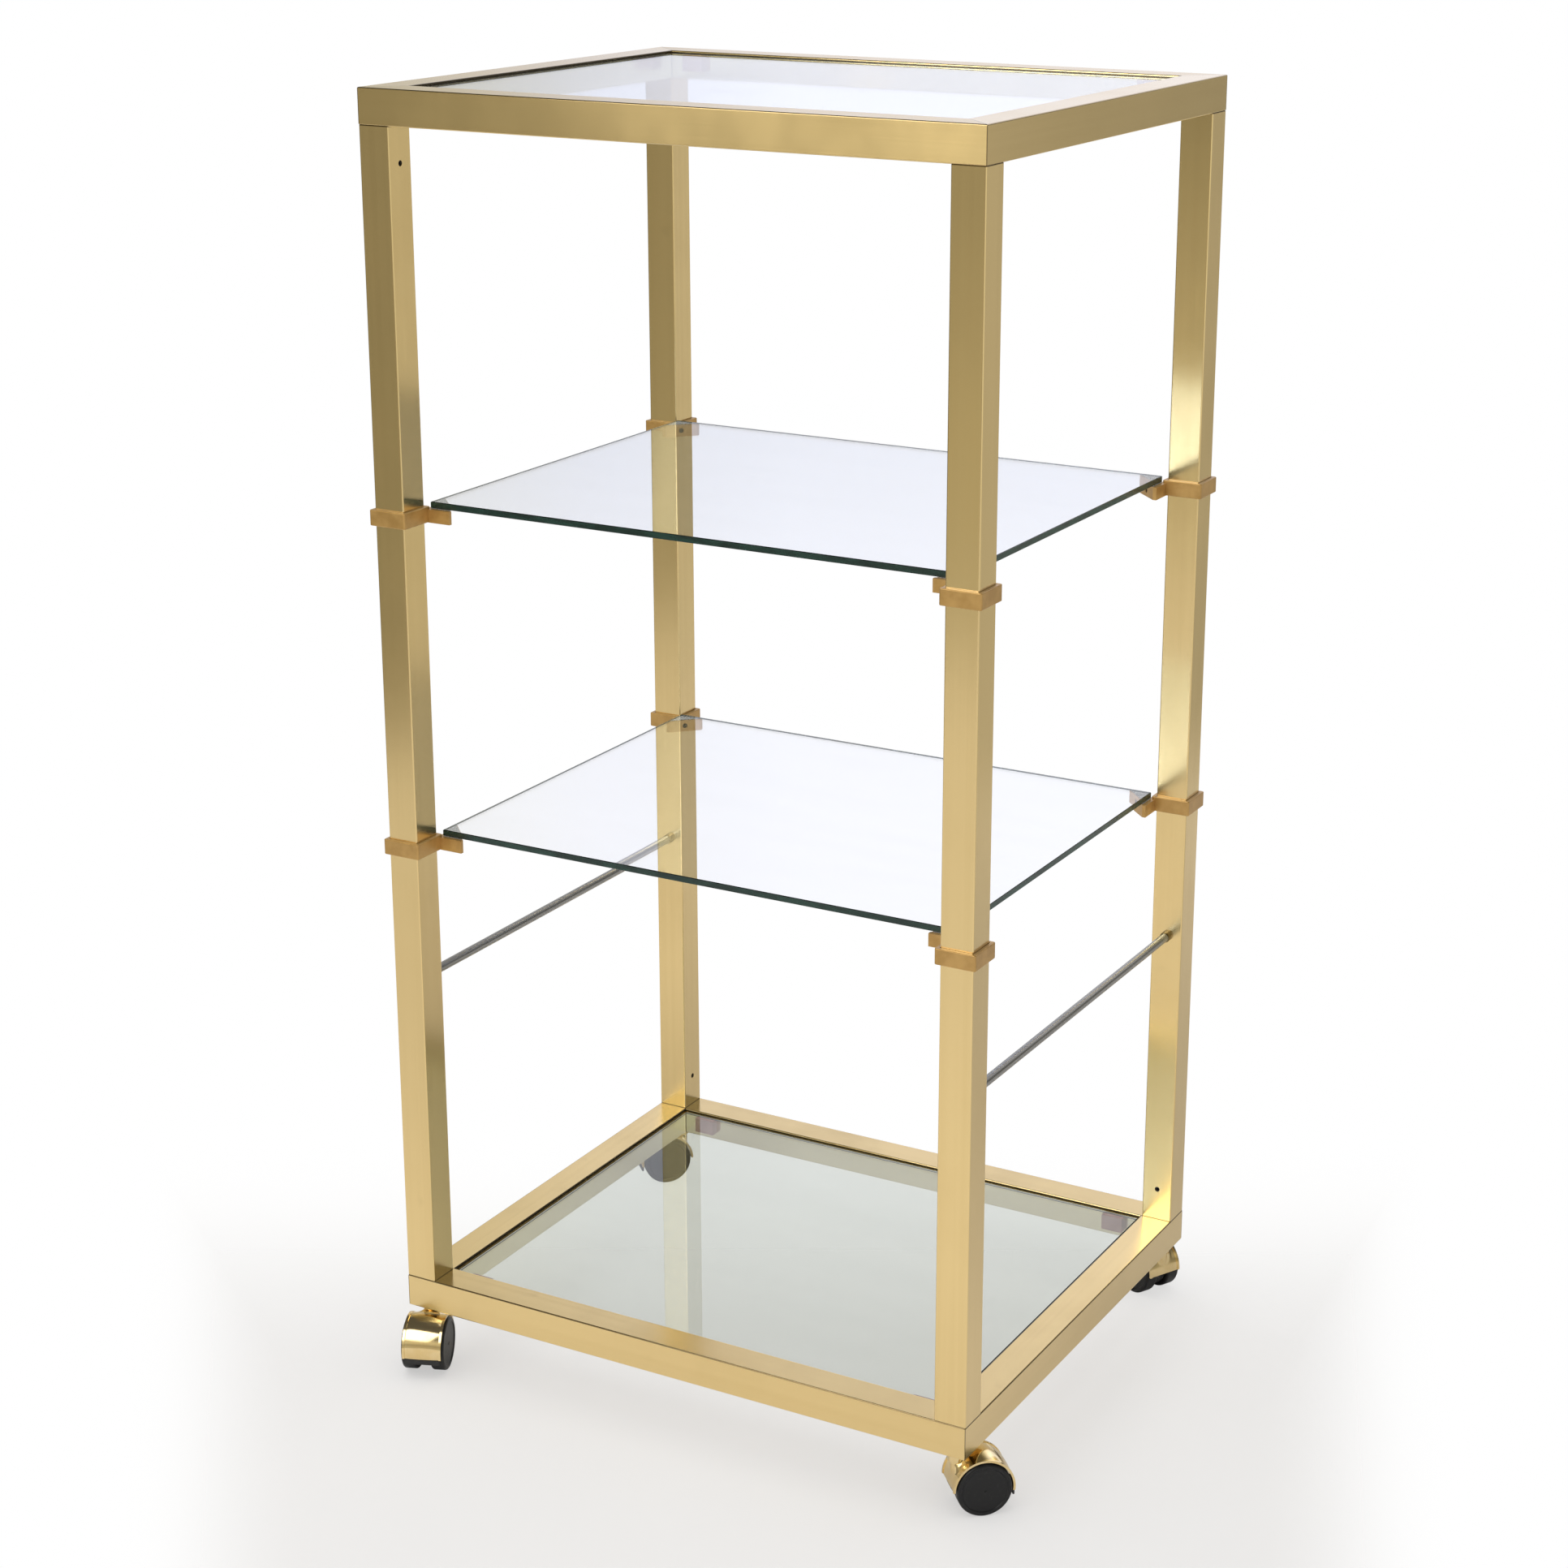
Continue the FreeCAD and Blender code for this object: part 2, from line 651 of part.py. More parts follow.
def build_hood(label, corner):
    """Beaded shell over both wheels, open on the stem side for a boss and neck bored for the kingpin."""
    body = new_body(label)
    shell = new_sketch(body, "XZ_Plane")
    add_circle(shell, HOOD_LIP, "trail", "-axle_drop")
    add_circle(shell, HOOD_INSIDE, "trail", "-axle_drop")
    pad(body, shell, HOOD_WIDTH, both=True)
    waist = new_sketch(body, "XZ_Plane")
    add_circle(waist, f"{HOOD_LIP} + cut_overrun", "trail", "-axle_drop")
    add_circle(waist, HOOD_OUTSIDE, "trail", "-axle_drop")
    pocket(body, waist, f"{HOOD_WIDTH} - 2 * lip_width", both=True)
    below = new_sketch(body, "XZ_Plane")
    stem_edge = "-axle_drop"
    skirt_edge = "-axle_drop - hood_skirt"
    floor = f"-axle_drop - {HOOD_REACH}"
    add_outline(below, [(f"-{HOOD_REACH}", stem_edge), ("trail", stem_edge), ("trail", skirt_edge),
                        (f"trail + {HOOD_REACH}", skirt_edge), (f"trail + {HOOD_REACH}", floor),
                        (f"-{HOOD_REACH}", floor)])
    pocket(body, below, both=True)
    slot = new_sketch(body, "XY_Plane")
    add_rectangle(slot, f"-{HOOD_REACH}", "-slot_width / 2", "slot_reach", "slot_width / 2")
    pocket(body, slot, "slot_depth")
    neck = new_sketch(body, "XY_Plane", "-neck_depth")
    add_rectangle(neck, "0", f"-{WEB_WIDTH} / 2", "neck_reach", f"{WEB_WIDTH} / 2")
    pad(body, neck, f"neck_depth - {BOSS_TOP} - boss_height / 2")
    nose = new_sketch(body, "XY_Plane", "-neck_depth")
    add_circle(nose, f"{WEB_WIDTH} / 2")
    pad(body, nose, f"neck_depth - {BOSS_TOP}")
    boss = new_sketch(body, "XY_Plane", f"-{BOSS_TOP} - boss_height")
    add_circle(boss, "boss_diameter / 2")
    pad(body, boss, "boss_height")
    bore(body, "XY_Plane", "kingpin_diameter / 2 + running_clearance", "cut_overrun", "0", "0",
         "neck_depth + 2 * cut_overrun")
    nodes.append(place_caster(body, corner))


def build_chassis(label, corner):
    """Web between the wheels, cleared for the neck and bored for the axle, with a bar under the skirt."""
    body = new_body(label)
    web = new_sketch(body, "XZ_Plane")
    add_circle(web, "web_radius", "trail", "-axle_drop")
    add_circle(web, "axle_diameter / 2 + running_clearance", "trail", "-axle_drop")
    pad(body, web, WEB_WIDTH, both=True)
    seat = new_sketch(body, "XZ_Plane")
    seat_floor = "-neck_depth - chassis_gap"
    add_rectangle(seat, f"-{HOOD_REACH}", seat_floor, "neck_reach + chassis_gap", "cut_overrun")
    pocket(body, seat, both=True)
    bar = new_sketch(body, "XY_Plane", "-axle_drop - hood_skirt - bar_gap - bar_height")
    root = f"trail + {WHEEL_RADIUS} / 2"
    inside = f"trail + {HOOD_INSIDE}"
    outside = f"{inside} + bar_wall"
    arm = f"{WEB_WIDTH} / 2"
    wing = "bar_width / 2"
    add_outline(bar, [(root, f"-{arm}"), (inside, f"-{arm}"), (inside, f"-{wing}"), (outside, f"-{wing}"),
                      (outside, wing), (inside, wing), (inside, arm), (root, arm)])
    pad(body, bar, "bar_height")
    nodes.append(place_caster(body, corner))


def build_axle(label, corner):
    """Plain pin through the web, as long as both wheel bores."""
    body = new_body(label)
    section = new_sketch(body, "XZ_Plane")
    add_circle(section, "axle_diameter / 2", "trail", "-axle_drop")
    pad(body, section, f"2 * ({AXLE_HALF} - axle_end_gap)", both=True)
    nodes.append(place_caster(body, corner))


def build_wheel(label, corner, side):
    """Turned wheel with a blind bore, a dished outer face, a centre mark and rounded tread edges."""
    body = new_body(label)
    section = new_sketch(body, "XY_Plane", "-axle_drop")
    bind(section, "AttachmentOffset.Base.x", "trail")
    hole = "axle_diameter / 2 + running_clearance"
    mark = "wheel_mark_diameter / 2"
    inside = f"{side} * wheel_spacing / 2"
    outside = f"{side} * {WHEEL_OUTSIDE}"
    dished = f"{side} * ({WHEEL_OUTSIDE} - wheel_dish)"
    marked = f"{side} * ({WHEEL_OUTSIDE} - wheel_dish - wheel_mark_depth)"
    bored = f"{side} * {AXLE_HALF}"
    rim = f"{WHEEL_RADIUS} - wheel_rim"
    add_outline(section, [(hole, inside), (WHEEL_RADIUS, inside), (WHEEL_RADIUS, outside), (rim, outside),
                          (f"{rim} - wheel_dish", dished), (mark, dished), (mark, marked), ("0", marked),
                          ("0", bored), (hole, bored)])
    revolve(body, section, "V_Axis")
    dress(body, "Fillet", "Radius", "wheel_edge_round", lambda edge: round_at(edge, WHEEL_RADIUS))
    nodes.append(place_caster(body, corner))


group("caster_stems", [build_stem(f"caster_stem_{c}", c) for c in CORNERS])
for corner in CORNERS:
    build_hood(f"caster_{corner}_hood", corner)
    build_chassis(f"caster_{corner}_chassis", corner)
    build_axle(f"caster_{corner}_axle", corner)
    build_wheel(f"caster_{corner}_wheel_left", corner, 1)
    build_wheel(f"caster_{corner}_wheel_right", corner, -1)


# Checks and files

doc.recompute()
for item in doc.Objects:
    if "Invalid" in item.State or "Error" in item.State:
        raise RuntimeError(f"{item.Label} did not compute")
os.makedirs("parts", exist_ok=True)
for node in nodes:
    if node.Shape.isNull() or not node.Shape.isValid():
        raise RuntimeError(f"{node.Label} has no valid shape")
    node.Shape.exportStep(f"parts/{node.Label}.step")
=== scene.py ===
# %% [markdown]
# # A brass and glass etagere on casters
# The solid model already holds every rail, post, pane, clamp and wheel at its real size. This lesson gives
# those solids their finishes, adds the few forms that are easier to draw as surfaces, and lights them as a
# plain studio would. We start by loading the solids, because every finish and every new piece depends on
# them.

import json
import math

import bpy
import numpy as np
from mathutils import Matrix, Vector


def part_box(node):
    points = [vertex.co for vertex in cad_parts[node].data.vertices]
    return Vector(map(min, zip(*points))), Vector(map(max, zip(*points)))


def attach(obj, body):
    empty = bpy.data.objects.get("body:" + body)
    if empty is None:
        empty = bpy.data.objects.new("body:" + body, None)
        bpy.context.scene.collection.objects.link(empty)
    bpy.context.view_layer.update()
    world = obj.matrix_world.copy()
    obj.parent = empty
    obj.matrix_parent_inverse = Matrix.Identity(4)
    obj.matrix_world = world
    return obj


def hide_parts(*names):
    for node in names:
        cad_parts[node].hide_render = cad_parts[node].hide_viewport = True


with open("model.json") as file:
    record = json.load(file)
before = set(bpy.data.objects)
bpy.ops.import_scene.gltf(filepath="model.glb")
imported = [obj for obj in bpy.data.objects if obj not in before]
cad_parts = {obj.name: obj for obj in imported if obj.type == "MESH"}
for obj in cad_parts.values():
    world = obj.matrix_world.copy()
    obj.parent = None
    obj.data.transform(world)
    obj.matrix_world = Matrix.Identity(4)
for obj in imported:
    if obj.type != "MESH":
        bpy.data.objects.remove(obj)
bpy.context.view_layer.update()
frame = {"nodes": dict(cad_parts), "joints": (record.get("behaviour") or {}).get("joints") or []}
nodes = frame["nodes"]

# %% [markdown]
# ## The camera
# The photograph was taken from the front right and a little above. Fitting a pinhole camera to the corners of
# the two frames gave a place, two angles, a slight roll and a lens. The picture was cropped off centre, and
# the lens shift repeats that crop without tilting the camera, so upright posts keep their convergence.

# %% Camera
CAMERA_PLACE = Vector((1.3375, -2.3784, 1.4630))
CAMERA_TURN = math.radians(28.58)
CAMERA_DROP = math.radians(17.26)
CAMERA_ROLL = math.radians(0.19)
SENSOR_WIDTH, FOCAL_LENGTH = 36.0, 70.02
CROP_SHIFT = (-0.0377, -0.0317)
FURTHEST_SEEN = 60.0


def camera_axes(turn, drop, roll):
    """Right, up and back of a camera that is turned about Z, lowered by drop, then rolled about its view."""
    right = Vector((math.cos(turn), math.sin(turn), 0))
    back = Vector((math.sin(turn) * math.cos(drop), -math.cos(turn) * math.cos(drop), math.sin(drop)))
    up = back.cross(right)
    level = Matrix((right, up, back)).transposed()
    return level @ Matrix.Rotation(roll, 3, "Z")


def into_scene(name, data):
    """A new object with that data, linked to the scene at the origin."""
    thing = bpy.data.objects.new(name, data)
    bpy.context.scene.collection.objects.link(thing)
    return thing


camera = into_scene("camera", bpy.data.cameras.new("camera"))
view = camera_axes(CAMERA_TURN, CAMERA_DROP, CAMERA_ROLL)
camera.matrix_world = Matrix.Translation(CAMERA_PLACE) @ view.to_4x4()
camera.data.sensor_width = SENSOR_WIDTH
camera.data.lens = FOCAL_LENGTH
camera.data.shift_x, camera.data.shift_y = CROP_SHIFT
camera.data.clip_end = FURTHEST_SEEN
bpy.context.scene.camera = camera
print("camera stands", round(CAMERA_PLACE.length, 2), "m from the floor centre")

# %% [markdown]
# ## Small helpers for node materials
# A node material is a little program. These helpers only shorten the typing. One adds a node and fills its
# inputs, where a value may be a number or the output of another node. One starts a material with a Principled
# BSDF, which is the shader that other programs can read, and one sets those of its sockets that are the same
# all over. The rest stand for a node or two each: sums, soft steps, mixed colours, noise and bump.

# %% Nodes and materials
def fill(tree, socket, value):
    """Links an output to the socket, or sets the socket's own value."""
    if isinstance(value, bpy.types.NodeSocket):
        tree.links.new(value, socket)
    else:
        socket.default_value = value


def add(tree, kind, settings=(), **inputs):
    """A new node: settings are attributes, inputs are sockets by name, _ for a space, or by number as i0."""
    node = tree.nodes.new(kind)
    for key, value in dict(settings).items():
        setattr(node, key, value)
    for key, value in inputs.items():
        index = int(key[1:]) if key[0] == "i" and key[1:].isdigit() else key.replace("_", " ")
        fill(tree, node.inputs[index], value)
    return node


def start_material(name):
    """A material with one Principled shader: returns the material, its tree and the shader."""
    material = bpy.data.materials.new(name)
    material.use_nodes = True
    tree = material.node_tree
    return material, tree, tree.nodes["Principled BSDF"]


def steady(shader, **values):
    """Sets sockets that are the same all over the surface, by name with _ for a space."""
    for key, value in values.items():
        shader.inputs[key.replace("_", " ")].default_value = value


print("helpers for nodes ready")

# %% Values, colours and patterns
# Most of a noise lies in this range.
NOISE_SPAN = (0.3, 0.7)


def maths(tree, operation, first, second=0.0, third=0.0):
    """One Math node: the operation on up to three numbers or outputs."""
    return add(tree, "ShaderNodeMath", {"operation": operation}, i0=first, i1=second, i2=third).outputs[0]


def fit(tree, value, low, high, to_low=0.0, to_high=1.0):
    """Value carried from the range low..high to the range to_low..to_high, with soft ends."""
    return add(tree, "ShaderNodeMapRange", {"interpolation_type": "SMOOTHSTEP"}, Value=value, From_Min=low,
               From_Max=high, To_Min=to_low, To_Max=to_high).outputs[0]


def falling(tree, value, low, high):
    """1 below low, 0 above high, and soft between."""
    return fit(tree, value, low, high, 1.0, 0.0)


def wander(tree, noise, spread, base):
    """base + spread * noise, for a roughness that isn't the same all over."""
    return maths(tree, "MULTIPLY_ADD", noise, spread, base)


def tint(tree, share, first, second):
    """Colour between first and second by share. Colours are triples or outputs."""
    node = add(tree, "ShaderNodeMix", {"data_type": "RGBA"}, i0=share)
    for index, colour in ((6, first), (7, second)):
        fill(tree, node.inputs[index], colour if isinstance(colour, bpy.types.NodeSocket) else (*colour, 1))
    return node.outputs[2]


def axes(tree, coordinates):
    """X, Y and Z of the texture coordinates of that name."""
    place = add(tree, "ShaderNodeTexCoord").outputs[coordinates]
    return add(tree, "ShaderNodeSeparateXYZ", Vector=place).outputs


def speckle(tree, scale, detail=3.0, roughness=0.55, turn=(0, 0, 0), offset=(0, 0, 0)):
    """Noise on Object coordinates, stretched: scale is how many lumps a metre along X, Y and Z."""
    place = add(tree, "ShaderNodeTexCoord").outputs["Object"]
    stretched = add(tree, "ShaderNodeMapping", Vector=place, Location=offset, Rotation=turn, Scale=scale)
    return add(tree, "ShaderNodeTexNoise", Vector=stretched.outputs[0], Scale=1.0, Detail=detail,
               Roughness=roughness).outputs[0]


def emboss(tree, shader, height, strength, depth):
    """Bump on the shader's normal: height is an output, and depth is a full step of it in metres."""
    bump = add(tree, "ShaderNodeBump", Strength=strength, Distance=depth, Height=height)
    fill(tree, shader.inputs["Normal"], bump.outputs[0])


print("helpers for patterns ready, noise span", NOISE_SPAN)

# %% [markdown]
# ## Satin brass tube
# The rails and posts are brass tube that was linished: an abrasive belt ran along each length and left hair
# lines in that direction. Such a surface mirrors sharply along the lines and blurs across them, which is why
# a post shows a clear step from dark to light along its height while a rail looks evenly soft. Painting that
# gradient would slide in other views. Instead the shader is anisotropic, with its direction taken from the
# tube's own axis, and the hair lines are noise drawn out about 200 times along the same axis. A clear
# lacquer lies over it, which makes a tube paler where it is seen at a low angle.
#
# The dark hairline where two tubes meet at a mitre or a butt joint is worked out from the coordinates. So is
# painted light and shade on the rails: painted shade on the strip above a pane, as in the gap between pane
# and rail, painted light that makes the wall below it pale, and a painted dark reflection along the outer
# arris.

# %% Measures of the tubes
RAIL_LOW, RAIL_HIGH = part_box("base_rail_front")
POST_LOW, POST_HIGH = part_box("post_front_left")
MITRE_STEP = RAIL_HIGH.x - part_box("base_rail_right")[1].y
FRAME_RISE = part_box("top_rail_front")[0].z - RAIL_LOW.z
PANE_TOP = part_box("base_glass")[1].z
INNER_WALL = {"X": abs(RAIL_HIGH.y), "Y": abs(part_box("base_rail_left")[1].x)}
OUTER_WALL = {"X": abs(RAIL_LOW.y), "Y": abs(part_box("base_rail_left")[0].x)}
print("frames", round(FRAME_RISE, 4), "m apart, base pane's top at", round(PANE_TOP, 4), "m")

# %% Joints, and painted light and shade on the rails
# Each pair is where a soft edge starts and where it ends, in metres from the joint, wall, pane or arris.
HAIRLINE = (0.0002, 0.0009)
WALL_SKIN = np.array((0.0008, 0.0016))
# The next pair bounds the wall below a pane, which carries painted light that makes it pale.
PANE_UNDERSIDE = np.array((-0.0075, -0.0060))
# The next two pairs bound the strip above a pane, which carries painted shade as in the gap between pane and
# rail.
SHADE_STRIP_FOOT = np.array((-0.0006, 0.0002))
SHADE_STRIP_HEAD = {"X": np.array((0.0007, 0.0014)), "Y": np.array((0.0030, 0.0037))}
# The next pair bounds the outer arris, which carries a painted dark reflection.
DARK_REFLECTION_LINE = (0.0008, 0.0013)
# The two shares and the last three colours are painted: light on the wall below a pane, shade on the strip
# above, a dark reflection on the arris.
SHADE_STRIP_SHARE, DARK_REFLECTION_SHARE = 0.9, 0.75
PAINTED_LIGHT_WALL, PAINTED_SHADE_BROWN, PAINTED_REFLECTION_DARK = (0.97, 0.90, 0.66), (0.045, 0.030, 0.014), (0.16, 0.11, 0.05)


def joint_line(tree, axis):
    """1 on the hairline of a joint, 0 elsewhere: |x| - |y| at the mitres of rails, the two ends of posts."""
    x, y, z = axes(tree, "Object")
    if axis == "Z":
        gap = maths(tree, "MINIMUM", maths(tree, "ABSOLUTE", maths(tree, "SUBTRACT", z, POST_LOW.z)),
                    maths(tree, "ABSOLUTE", maths(tree, "SUBTRACT", z, POST_HIGH.z)))
    else:
        diagonal = maths(tree, "SUBTRACT", maths(tree, "ABSOLUTE", x), maths(tree, "ABSOLUTE", y))
        gap = maths(tree, "ABSOLUTE", maths(tree, "SUBTRACT", diagonal, MITRE_STEP))
    return falling(tree, gap, *HAIRLINE)


def rail_section(tree, axis):
    """A point in a rail's section: how far outward it lies, and its height as if each frame were the base."""
    x, y, z = axes(tree, "Object")
    raised = maths(tree, "GREATER_THAN", z, FRAME_RISE / 2)
    outward = maths(tree, "ABSOLUTE", y if axis == "X" else x)
    return outward, maths(tree, "MULTIPLY_ADD", raised, -FRAME_RISE, z)


def paint_rail_light_and_shade(tree, axis, brass):
    """The brass colour with painted light and shade: painted light on the wall below a pane, painted shade on
    the strip above it, a painted dark reflection on the outer arris.
    """
    outward, height = rail_section(tree, axis)
    inside = falling(tree, outward, *(INNER_WALL[axis] + WALL_SKIN))
    below = maths(tree, "MULTIPLY", inside, falling(tree, height, *(PANE_TOP + PANE_UNDERSIDE)))
    strip = maths(tree, "MULTIPLY", fit(tree, height, *(PANE_TOP + SHADE_STRIP_FOOT), 0.0, SHADE_STRIP_SHARE),
                  falling(tree, height, *(PANE_TOP + SHADE_STRIP_HEAD[axis])))
    reach = maths(tree, "ADD", outward, height)
    to_arris = maths(tree, "SUBTRACT", RAIL_HIGH.z + OUTER_WALL[axis], reach)
    # Painted light on the wall below the pane, painted shade on the strip above it, painted dark reflection on
    # the arris.
    brass = tint(tree, below, brass, PAINTED_LIGHT_WALL)
    brass = tint(tree, maths(tree, "MULTIPLY", inside, strip), brass, PAINTED_SHADE_BROWN)
    return tint(tree, fit(tree, to_arris, *DARK_REFLECTION_LINE, DARK_REFLECTION_SHARE, 0.0), brass, PAINTED_REFLECTION_DARK)


# The brown strip is painted shade.
print("rails are brown for", {axis: float(head[0]) for axis, head in SHADE_STRIP_HEAD.items()}, "m above a pane")

# %% Satin brass
GRAIN = {"X": (5.0, 900.0, 900.0), "Y": (900.0, 5.0, 900.0), "Z": (900.0, 900.0, 4.0)}
BANDS = {"X": (1.2, 160.0, 160.0), "Y": (160.0, 1.2, 160.0), "Z": (160.0, 160.0, 1.0)}
SMUDGE_LUMPS, DROP_LUMPS, DROP_OFFSET = (11.0, 11.0, 7.0), (34.0, 34.0, 30.0), (3, 1, 7)
BRASS_DEEP, BRASS_PALE = (0.838, 0.624, 0.286), (0.868, 0.652, 0.304)
SMUDGE_BROWN, DROP_BROWN, JOINT_BROWN = (0.74, 0.53, 0.22), (0.56, 0.40, 0.18), (0.22, 0.15, 0.06)
SMUDGE_SHARE, DROP_SHARE = 0.20, 0.18
CORNERS = ("front_left", "front_right", "back_right", "back_left")


def satin_brass(axis):
    """Linished brass whose hair lines run along one axis."""
    material, tree, shader = start_material("satin_brass_" + axis.lower())
    hair = speckle(tree, GRAIN[axis], detail=2.0)
    bands = speckle(tree, BANDS[axis], detail=3.0)
    smudge = speckle(tree, SMUDGE_LUMPS, detail=5.0, roughness=0.6)
    drops = fit(tree, speckle(tree, DROP_LUMPS, detail=2.0, roughness=0.5, offset=DROP_OFFSET), 0.70, 0.80)
    brass = tint(tree, fit(tree, bands, *NOISE_SPAN), BRASS_DEEP, BRASS_PALE)
    brass = tint(tree, fit(tree, smudge, 0.50, 0.78, to_high=SMUDGE_SHARE), brass, SMUDGE_BROWN)
    brass = tint(tree, maths(tree, "MULTIPLY", drops, DROP_SHARE), brass, DROP_BROWN)
    if axis != "Z":
        brass = paint_rail_light_and_shade(tree, axis, brass)
    brass = tint(tree, joint_line(tree, axis), brass, JOINT_BROWN)
    fill(tree, shader.inputs["Base Color"], brass)
    smudged = fit(tree, smudge, 0.35, 0.75, to_low=0.18, to_high=0.23)
    fill(tree, shader.inputs["Roughness"], wander(tree, hair, spread=0.03, base=smudged))
    steady(shader, Metallic=1.0, Anisotropic=0.75, Coat_Weight=0.4, Coat_Roughness=0.10)
    along = add(tree, "ShaderNodeTangent", {"direction_type": "RADIAL", "axis": axis})
    fill(tree, shader.inputs["Tangent"], along.outputs[0])
    emboss(tree, shader, hair, strength=0.015, depth=0.0002)
    return material


def dress(material, *names):
    """Puts one finish on every material slot of the named solids."""
    for name in names:
        for index in range(len(nodes[name].data.materials)):
            nodes[name].data.materials[index] = material
    print(material.name, "on", len(names), "solids")


dress(satin_brass("X"), *[f"{level}_rail_{side}" for level in ("base", "top") for side in ("front", "back")])
dress(satin_brass("Y"), *[f"{level}_rail_{side}" for level in ("base", "top") for side in ("left", "right")])
dress(satin_brass("Z"), *[f"post_{corner}" for corner in CORNERS])

# %% [markdown]
# ## Cast clamps
# The collars that grip the posts are small castings with a warmer, redder lacquer than the tube. A casting
# has no hair lines: it was tumbled, so it carries a faint orange peel and is a little deeper in colour where
# the lacquer is thick. Two noises at different scales give both.

# %% Clamp brass
CLAMP_DEEP, CLAMP_PALE = (0.50, 0.290, 0.083), (0.62, 0.380, 0.124)


def clamp_brass():
    """Lacquered casting: warm brass with an even, slightly lumpy skin."""
    material, tree, shader = start_material("clamp_brass")
    peel = speckle(tree, (420.0, 420.0, 420.0), detail=2.0)
    cloud = speckle(tree, (60.0, 60.0, 60.0), detail=4.0)
    brass = tint(tree, fit(tree, cloud, *NOISE_SPAN), CLAMP_DEEP, CLAMP_PALE)
    fill(tree, shader.inputs["Base Color"], brass)
    fill(tree, shader.inputs["Roughness"], wander(tree, cloud, spread=0.14, base=0.40))
    steady(shader, Metallic=0.72, Coat_Weight=0.4, Coat_Roughness=0.22)
    emboss(tree, shader, peel, strength=0.10, depth=0.0003)
    return material


dress(clamp_brass(), *[f"{level}_clamp_{corner}" for level in ("lower", "upper") for corner in CORNERS])

# %% [markdown]
# ## Polished hoods
# The caster hoods were pressed from thin sheet and buffed until they mirror the room. What keeps a mirror
# from looking like a drawing is its wear: fine wiping arcs and a few dull patches, so the roughness wanders
# while the colour stays nearly even.

# %% Hood brass
HOOD_BRIGHT, HOOD_DULL = (0.88, 0.69, 0.37), (0.82, 0.61, 0.29)


def hood_brass():
    """Buffed sheet brass: a low, wandering roughness and faint wiping marks."""
    material, tree, shader = start_material("hood_brass")
    wipe = speckle(tree, (260.0, 260.0, 900.0), detail=3.0, roughness=0.6)
    dull = speckle(tree, (70.0, 70.0, 70.0), detail=4.0)
    fill(tree, shader.inputs["Base Color"], tint(tree, fit(tree, dull, 0.35, 0.7), HOOD_BRIGHT, HOOD_DULL))
    dulled = fit(tree, dull, 0.4, 0.8, to_low=0.09, to_high=0.16)
    fill(tree, shader.inputs["Roughness"], wander(tree, wipe, spread=0.04, base=dulled))
    steady(shader, Metallic=1.0)
    emboss(tree, shader, wipe, strength=0.02, depth=0.0001)
    return material


HOOD_FINISH = hood_brass()
dress(HOOD_FINISH, *[f"caster_{corner}_hood" for corner in CORNERS])

# %% [markdown]
# ## The crown of a hood
# A hood is pressed, so its back isn't the plain cylinder of the solid. It swells a little across its width,
# which bends the mirrored room into curves, and on the stem side the sheet is drawn up round the neck in a
# soft cove. A subdivided cage could give that, but the form has a short formula: a radius that depends on the
# angle round the axle and on the share of the width. So the skin is one grid of points, with a second grid
# inside it to close it. The joints of each caster say where its stem and axle are, and so which way it heads.

# %% Radius of a crown
# Lengths are in metres. Angles are in degrees round the axle, from the skirt over the top to the stem.
SHELL_ROUND, SHELL_HALF = 0.02795, 0.0168
CROWN_RISE, SKIRT_SHARE, STEM_LOSS = 0.0009, 0.55, 0.7
NECK_ROUND, NECK_REACH, COVE_WIDTH = 0.0064, 0.0095, 0.0070
SKIRT_ANGLE, FULL_ANGLE, STEM_ANGLE = -7.9, 30.0, 179.0
STEM_SIDE, COVE_SIDE = (110.0, 170.0), (100.0, 125.0)


def soft_step(value, low, high):
    """0 below low, 1 above high, and 3s^2 - 2s^3 between."""
    share = np.clip((value - low) / (high - low), 0.0, 1.0)
    return share * share * (3.0 - 2.0 * share)


def crown_radius(angle, share, trail):
    """Shell + crown * (1 - share^2), less at both ends, + a cove: half the square of how near the neck is."""
    at_skirt = SKIRT_SHARE + (1.0 - SKIRT_SHARE) * soft_step(angle, SKIRT_ANGLE, FULL_ANGLE)
    at_stem = 1.0 - STEM_LOSS * soft_step(angle, *STEM_SIDE)
    shell = SHELL_ROUND + CROWN_RISE * (1.0 - share ** 2) * at_skirt * at_stem
    ahead = trail + shell * np.cos(np.radians(angle))
    aside = np.abs(share * SHELL_HALF)
    before = np.hypot(ahead, aside) - NECK_ROUND
    beside = np.hypot(np.maximum(ahead - NECK_REACH, 0.0), np.maximum(aside - NECK_ROUND, 0.0))
    gap = np.clip(np.where(ahead < 0.0, before, beside), 0.0, COVE_WIDTH)
    proud = soft_step(ahead, -NECK_ROUND, 0.0) * soft_step(angle, *COVE_SIDE)
    return shell + 0.5 * (COVE_WIDTH - gap) ** 2 / COVE_WIDTH * proud


print("a crown stands", CROWN_RISE, "m proud of its shell")

# %% Hood crowns
SKIN_INSIDE = 0.0273
CROWN_ROWS, CROWN_COLUMNS, CROWN_CREASE = 121, 41, 40
UP = np.array([0.0, 0.0, 1.0])
PLACES = {joint["name"]: np.array(joint["pos_m"]) for joint in frame["joints"] if "pos_m" in joint}


